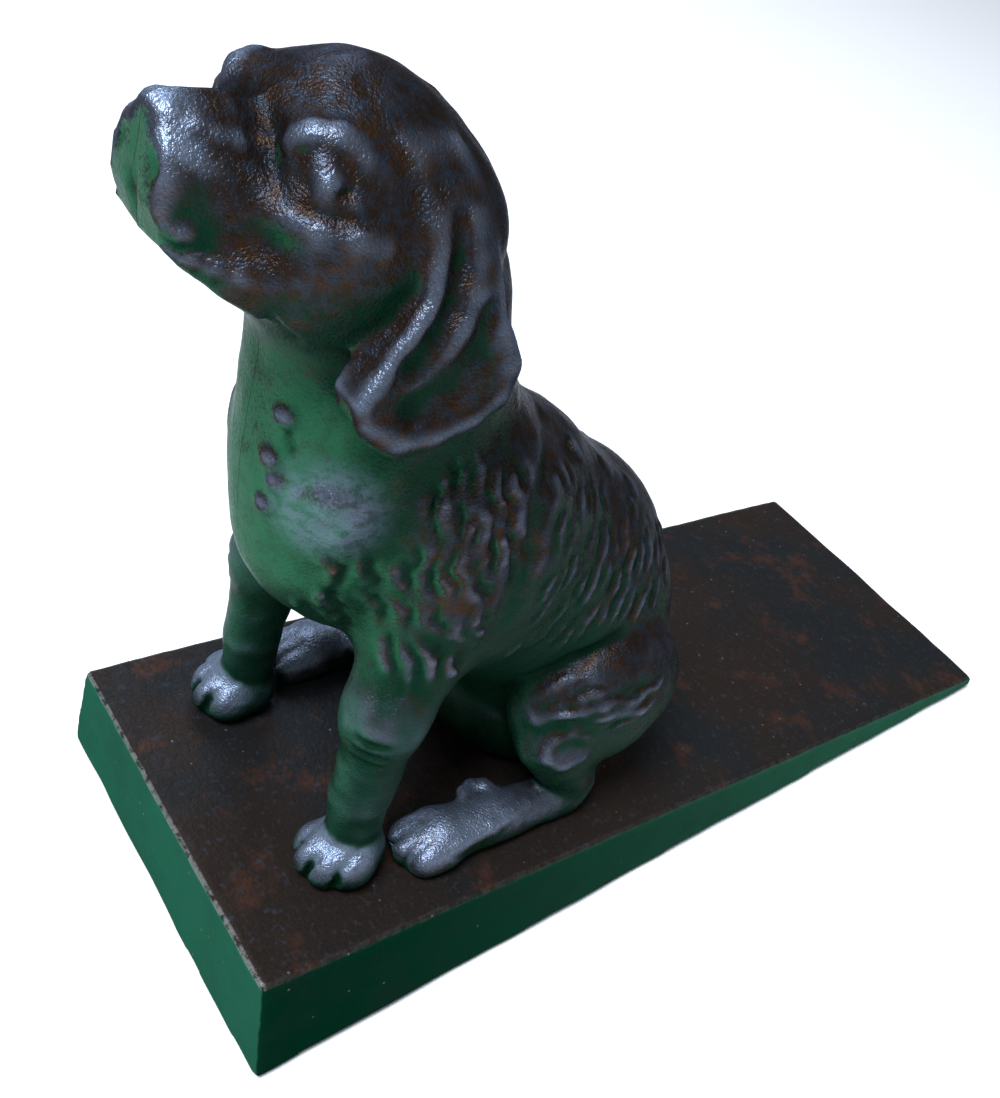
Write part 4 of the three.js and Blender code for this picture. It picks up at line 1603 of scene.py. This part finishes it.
@dataclass
class WedgeCasting:
    """The wedge: a sand casting with soft edges, a recess below and two screw pockets."""

    stand: Stand
    step: float = 0.5
    rounding: float = 0.75
    spare: float = 1.5
    recess_corner: float = 3.3
    pocket_radius: float = 4.9
    pocket_run: float = 40.0
    shank_hole_top: float = 4.0
    bevel_lean: Band = (0.3, 0.9)
    flush: float = 0.01

    def faces(self) -> tuple[list[Point], list[float]]:
        """Reads the six big outer faces from the CAD wedge: their directions and offsets.

        The narrow bevels, which lean between the sides and the top, are left out, because the
        casting's own rounding takes their place.
        """
        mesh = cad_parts["wedge_base"].data
        points = np.array([v.co for v in mesh.vertices]) / MM
        found: dict[tuple, float] = {}
        for polygon in mesh.polygons:
            normal = np.array(polygon.normal)
            offset = float(normal @ points[polygon.vertices[0]])
            bevel = self.bevel_lean[0] < abs(normal[2]) < self.bevel_lean[1]
            if not bevel and (points @ normal).max() < offset + self.flush:
                found[tuple(np.round(normal, 3))] = offset
        return list(found), list(found.values())

    def build(self, iron: bpy.types.Material) -> None:
        """Casts the wedge and puts it on the object."""
        low, high = (np.array(c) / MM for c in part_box("wedge_base"))
        clay = Clay(low - self.spare, high + self.spare, self.step)
        normals, offsets = self.faces()
        clay.add(Faceted(normals, offsets, self.rounding, tuple(low), tuple(high)), self.flush)
        clay.roughen(size=9.0, depth=0.07, seed=31)
        clay.roughen(size=2.6, depth=0.035, seed=32)
        self.carve_recess(clay)
        for x in (-BASE_SCREW_AT[0], BASE_SCREW_AT[0]):
            self.carve_pocket(clay, x)
        points, quads = clay.skin()
        piece = mesh_object("wedge_casting", points * MM, quads, iron)
        dress(piece, "wedge_iron", "wedge_base")

    def carve_recess(self, clay: Clay) -> None:
        """Cuts the shallow seat of the sole."""
        low, high = (np.array(c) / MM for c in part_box("sole_pad"))
        top = high[2] + TOUCH
        x, y, z = clay.axes
        corner = self.recess_corner
        wide = np.abs(x)[:, None] - (high[0] + TOUCH - corner)
        long = np.abs(y)[None, :] - (high[1] + TOUCH - corner)
        flat = np.sqrt(np.maximum(wide, 0) ** 2 + np.maximum(long, 0) ** 2)
        flat = flat + np.minimum(np.maximum(wide, long), 0) - corner
        cut = np.maximum(flat[:, :, None], (z - top)[None, None, :])
        clay.field = np.maximum(clay.field, -cut).astype(np.float32)

    def carve_pocket(self, clay: Clay, x: float) -> None:
        """Drills one screw's hole and its head's pocket, square to the top face."""
        stand = self.stand
        foot = stand.origin + np.array([x, 0, 0]) + stand.back * BASE_SCREW_AT[1]
        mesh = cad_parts["base_washer_left"].data
        washer = np.array([v.co for v in mesh.vertices]) / MM
        seat = float((washer @ stand.up).max() - foot @ stand.up) + TOUCH
        bores = ((seat, self.pocket_radius), (self.shank_hole_top, BASE_SCREW_HOLE))
        for top, radius in bores:
            start, end = foot - stand.up * self.pocket_run, foot + stand.up * top
            clay.carve(Rod(tuple(start), tuple(end), radius), CRISP)


@dataclass
class RubberSole:
    """The sole: a moulded sheet with cross grooves on its underside."""

    corner: float = 3.0
    edge: float = 0.25
    groove_gap: float = 4.0
    groove_width: float = 0.9
    groove_depth: float = 0.45
    corner_steps: int = 8

    def ring(self, high: np.ndarray, inset: float, z: float) -> list[Point]:
        """Gives the outline at one height: four quarter circles, in metres.

        Args:
            high: The sheet's highest corner, in millimetres.
            inset: How far the outline lies inside the sheet's own.
            z: The height.

        Returns:
            The outline's points, in order.
        """
        radius = self.corner - inset
        points = []
        for quarter, (sx, sy) in enumerate(((1, 1), (-1, 1), (-1, -1), (1, -1))):
            middle = np.array([sx * (high[0] - self.corner), sy * (high[1] - self.corner)])
            for i in range(self.corner_steps + 1):
                angle = math.pi / 2 * (quarter + i / self.corner_steps)
                x, y = middle + radius * np.array([math.cos(angle), math.sin(angle)])
                points.append((x * MM, y * MM, z * MM))
        return points

    def sheet(self) -> bpy.types.Object:
        """Builds the plain sheet with round corners and eased edges."""
        low, high = (np.array(c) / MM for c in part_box("sole_pad"))
        rings = [(self.edge, low[2]), (0.0, low[2] + self.edge), (0.0, high[2] - self.edge),
                 (self.edge, high[2])]
        shape = bmesh.new()
        layers = [[shape.verts.new(point) for point in self.ring(high, inset, z)]
                  for inset, z in rings]
        for lower, upper in zip(layers, layers[1:]):
            for i in range(len(lower)):
                j = (i + 1) % len(lower)
                shape.faces.new((lower[i], lower[j], upper[j], upper[i]))
        shape.faces.new(layers[0][::-1])
        shape.faces.new(layers[-1])
        mesh = bpy.data.meshes.new("sole_sheet")
        shape.to_mesh(mesh)
        shape.free()
        piece = bpy.data.objects.new("sole_moulded", mesh)
        bpy.context.scene.collection.objects.link(piece)
        return piece

    def build(self, rubber: bpy.types.Material) -> None:
        """Cuts the row of grooves into the sheet and puts it on the object."""
        low, high = (np.array(c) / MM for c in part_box("sole_pad"))
        run = high[1] - low[1] - 2 * self.corner
        r = Recipe("cross_grooves", {
            "Run": run * MM,
            "Width": (high[0] - low[0] - 2 * self.corner) * MM,
            "Groove Width": self.groove_width * MM,
            "Groove Depth": self.groove_depth * MM,
        })
        size = r.source
        gaps = int(run / self.groove_gap)
        line = r.add("GeometryNodeMeshLine", {
            "Count": gaps + 1,
            "Start Location": r.vector(y=r.math("MULTIPLY", size["Run"], -0.5)),
            "Offset": r.vector(y=r.math("DIVIDE", size["Run"], gaps)),
        })
        tool = r.add("GeometryNodeMeshCube", {"Size": r.vector(
            size["Width"], size["Groove Width"],
            r.math("MULTIPLY", size["Groove Depth"], 2.0))})
        row = r.add("GeometryNodeInstanceOnPoints",
                    {"Points": line.outputs[0], "Instance": tool.outputs["Mesh"]})
        tools = r.add("GeometryNodeRealizeInstances", {"Geometry": row.outputs[0]})
        r.end(r.boolean("DIFFERENCE", size["Geometry"], tools.outputs[0]), rubber)
        piece = self.sheet()
        r.bake(piece)
        smooth_by_angle(piece)
        dress(piece, "sole_rubber", "sole_pad")


# ---- studio ---------------------------------------------------------------------------------


@dataclass(frozen=True)
class Lamp:
    """One soft square light.

    Args:
        name: Its name.
        at: Where it hangs, in metres.
        aim: What it points at.
        size: Its side, in metres.
        power: Its watts.
        tint: Its colour.
    """

    name: str
    at: Point
    aim: Point
    size: float
    power: float
    tint: str

    def build(self) -> None:
        """Hangs the light."""
        data = bpy.data.lights.new(self.name, "AREA")
        data.size = self.size
        data.energy = self.power
        data.color = linear(self.tint)[:3]
        lamp = bpy.data.objects.new(self.name, data)
        lamp.location = self.at
        aim = Vector(self.aim) - Vector(self.at)
        lamp.rotation_euler = aim.to_track_quat("-Z", "Y").to_euler()
        bpy.context.scene.collection.objects.link(lamp)


@dataclass
class Studio:
    """A pale floor, a broad cool light overhead, a weak fill, and the camera.

    The camera's `eye` is in millimetres, and `right` and `up` are its own directions.
    """

    eye: Point = (89.15, -117.18, 158.24)
    right: Point = (0.55814, 0.80576, 0.19808)
    up: Point = (-0.63428, 0.26041, 0.72792)
    lens: float = 40.99
    sensor: float = 36.0
    clip: Band = (0.01, 20.0)
    floor: str = "f4f4f2"
    floor_rough: float = 0.9
    floor_reach: float = 3.0
    sky: str = "eef1f5"
    sky_strength: float = 0.34
    lamps: tuple[Lamp, ...] = (
        Lamp("overhead", (0.07, -0.33, 0.75), (0, -0.02, 0.05), 0.30, 9.8, "e6edfb"),
        Lamp("window", (-0.45, 0.10, 0.45), (0, 0, 0.06), 0.30, 1.6, "e4edff"),
    )

    def build_camera(self) -> None:
        """Sets the camera up at the viewing angle, square on and unshifted."""
        data = bpy.data.cameras.new("camera")
        data.lens = self.lens
        data.sensor_width = self.sensor
        data.clip_start, data.clip_end = self.clip
        camera = bpy.data.objects.new("camera", data)
        right, up = Vector(self.right), Vector(self.up)
        back = right.cross(up)
        turn = Matrix((right, up, back)).transposed().to_4x4()
        camera.matrix_world = Matrix.Translation(Vector(self.eye) * MM) @ turn
        bpy.context.scene.collection.objects.link(camera)
        bpy.context.scene.camera = camera

    def build_floor(self) -> None:
        """Lays the plain pale floor."""
        mesh = bpy.data.meshes.new("floor")
        reach = self.floor_reach
        corners = [(x * reach, y * reach, 0) for x, y in ((-1, -1), (1, -1), (1, 1), (-1, 1))]
        mesh.from_pydata(corners, [], [(0, 1, 2, 3)])
        shade = Shade("studio_paper")
        mesh.materials.append(shade.finish(Base_Color=linear(self.floor),
                                           Roughness=self.floor_rough))
        piece = bpy.data.objects.new("floor", mesh)
        bpy.context.scene.collection.objects.link(piece)

    def build(self) -> None:
        """Builds the floor, the lights and the camera."""
        self.build_camera()
        self.build_floor()
        world = bpy.data.worlds.new("studio")
        world.use_nodes = True
        sky = world.node_tree.nodes["Background"]
        sky.inputs["Color"].default_value = linear(self.sky)
        sky.inputs["Strength"].default_value = self.sky_strength
        bpy.context.scene.world = world
        bpy.context.scene.view_settings.view_transform = "Standard"
        for lamp in self.lamps:
            lamp.build()


def main() -> None:
    """Builds the studio, then the doorstop's pieces in order."""
    stand = Stand.from_frame()
    Studio().build()
    WedgeCasting(stand).build(WedgeIron().build())
    RubberSole().build(SoleRubber().build())
    Hound(stand).build(HoundIronWithPaintedLight().build())
    Fasteners(stand).build(ScrewSteel().build())


if __name__ == "__main__":
    main()
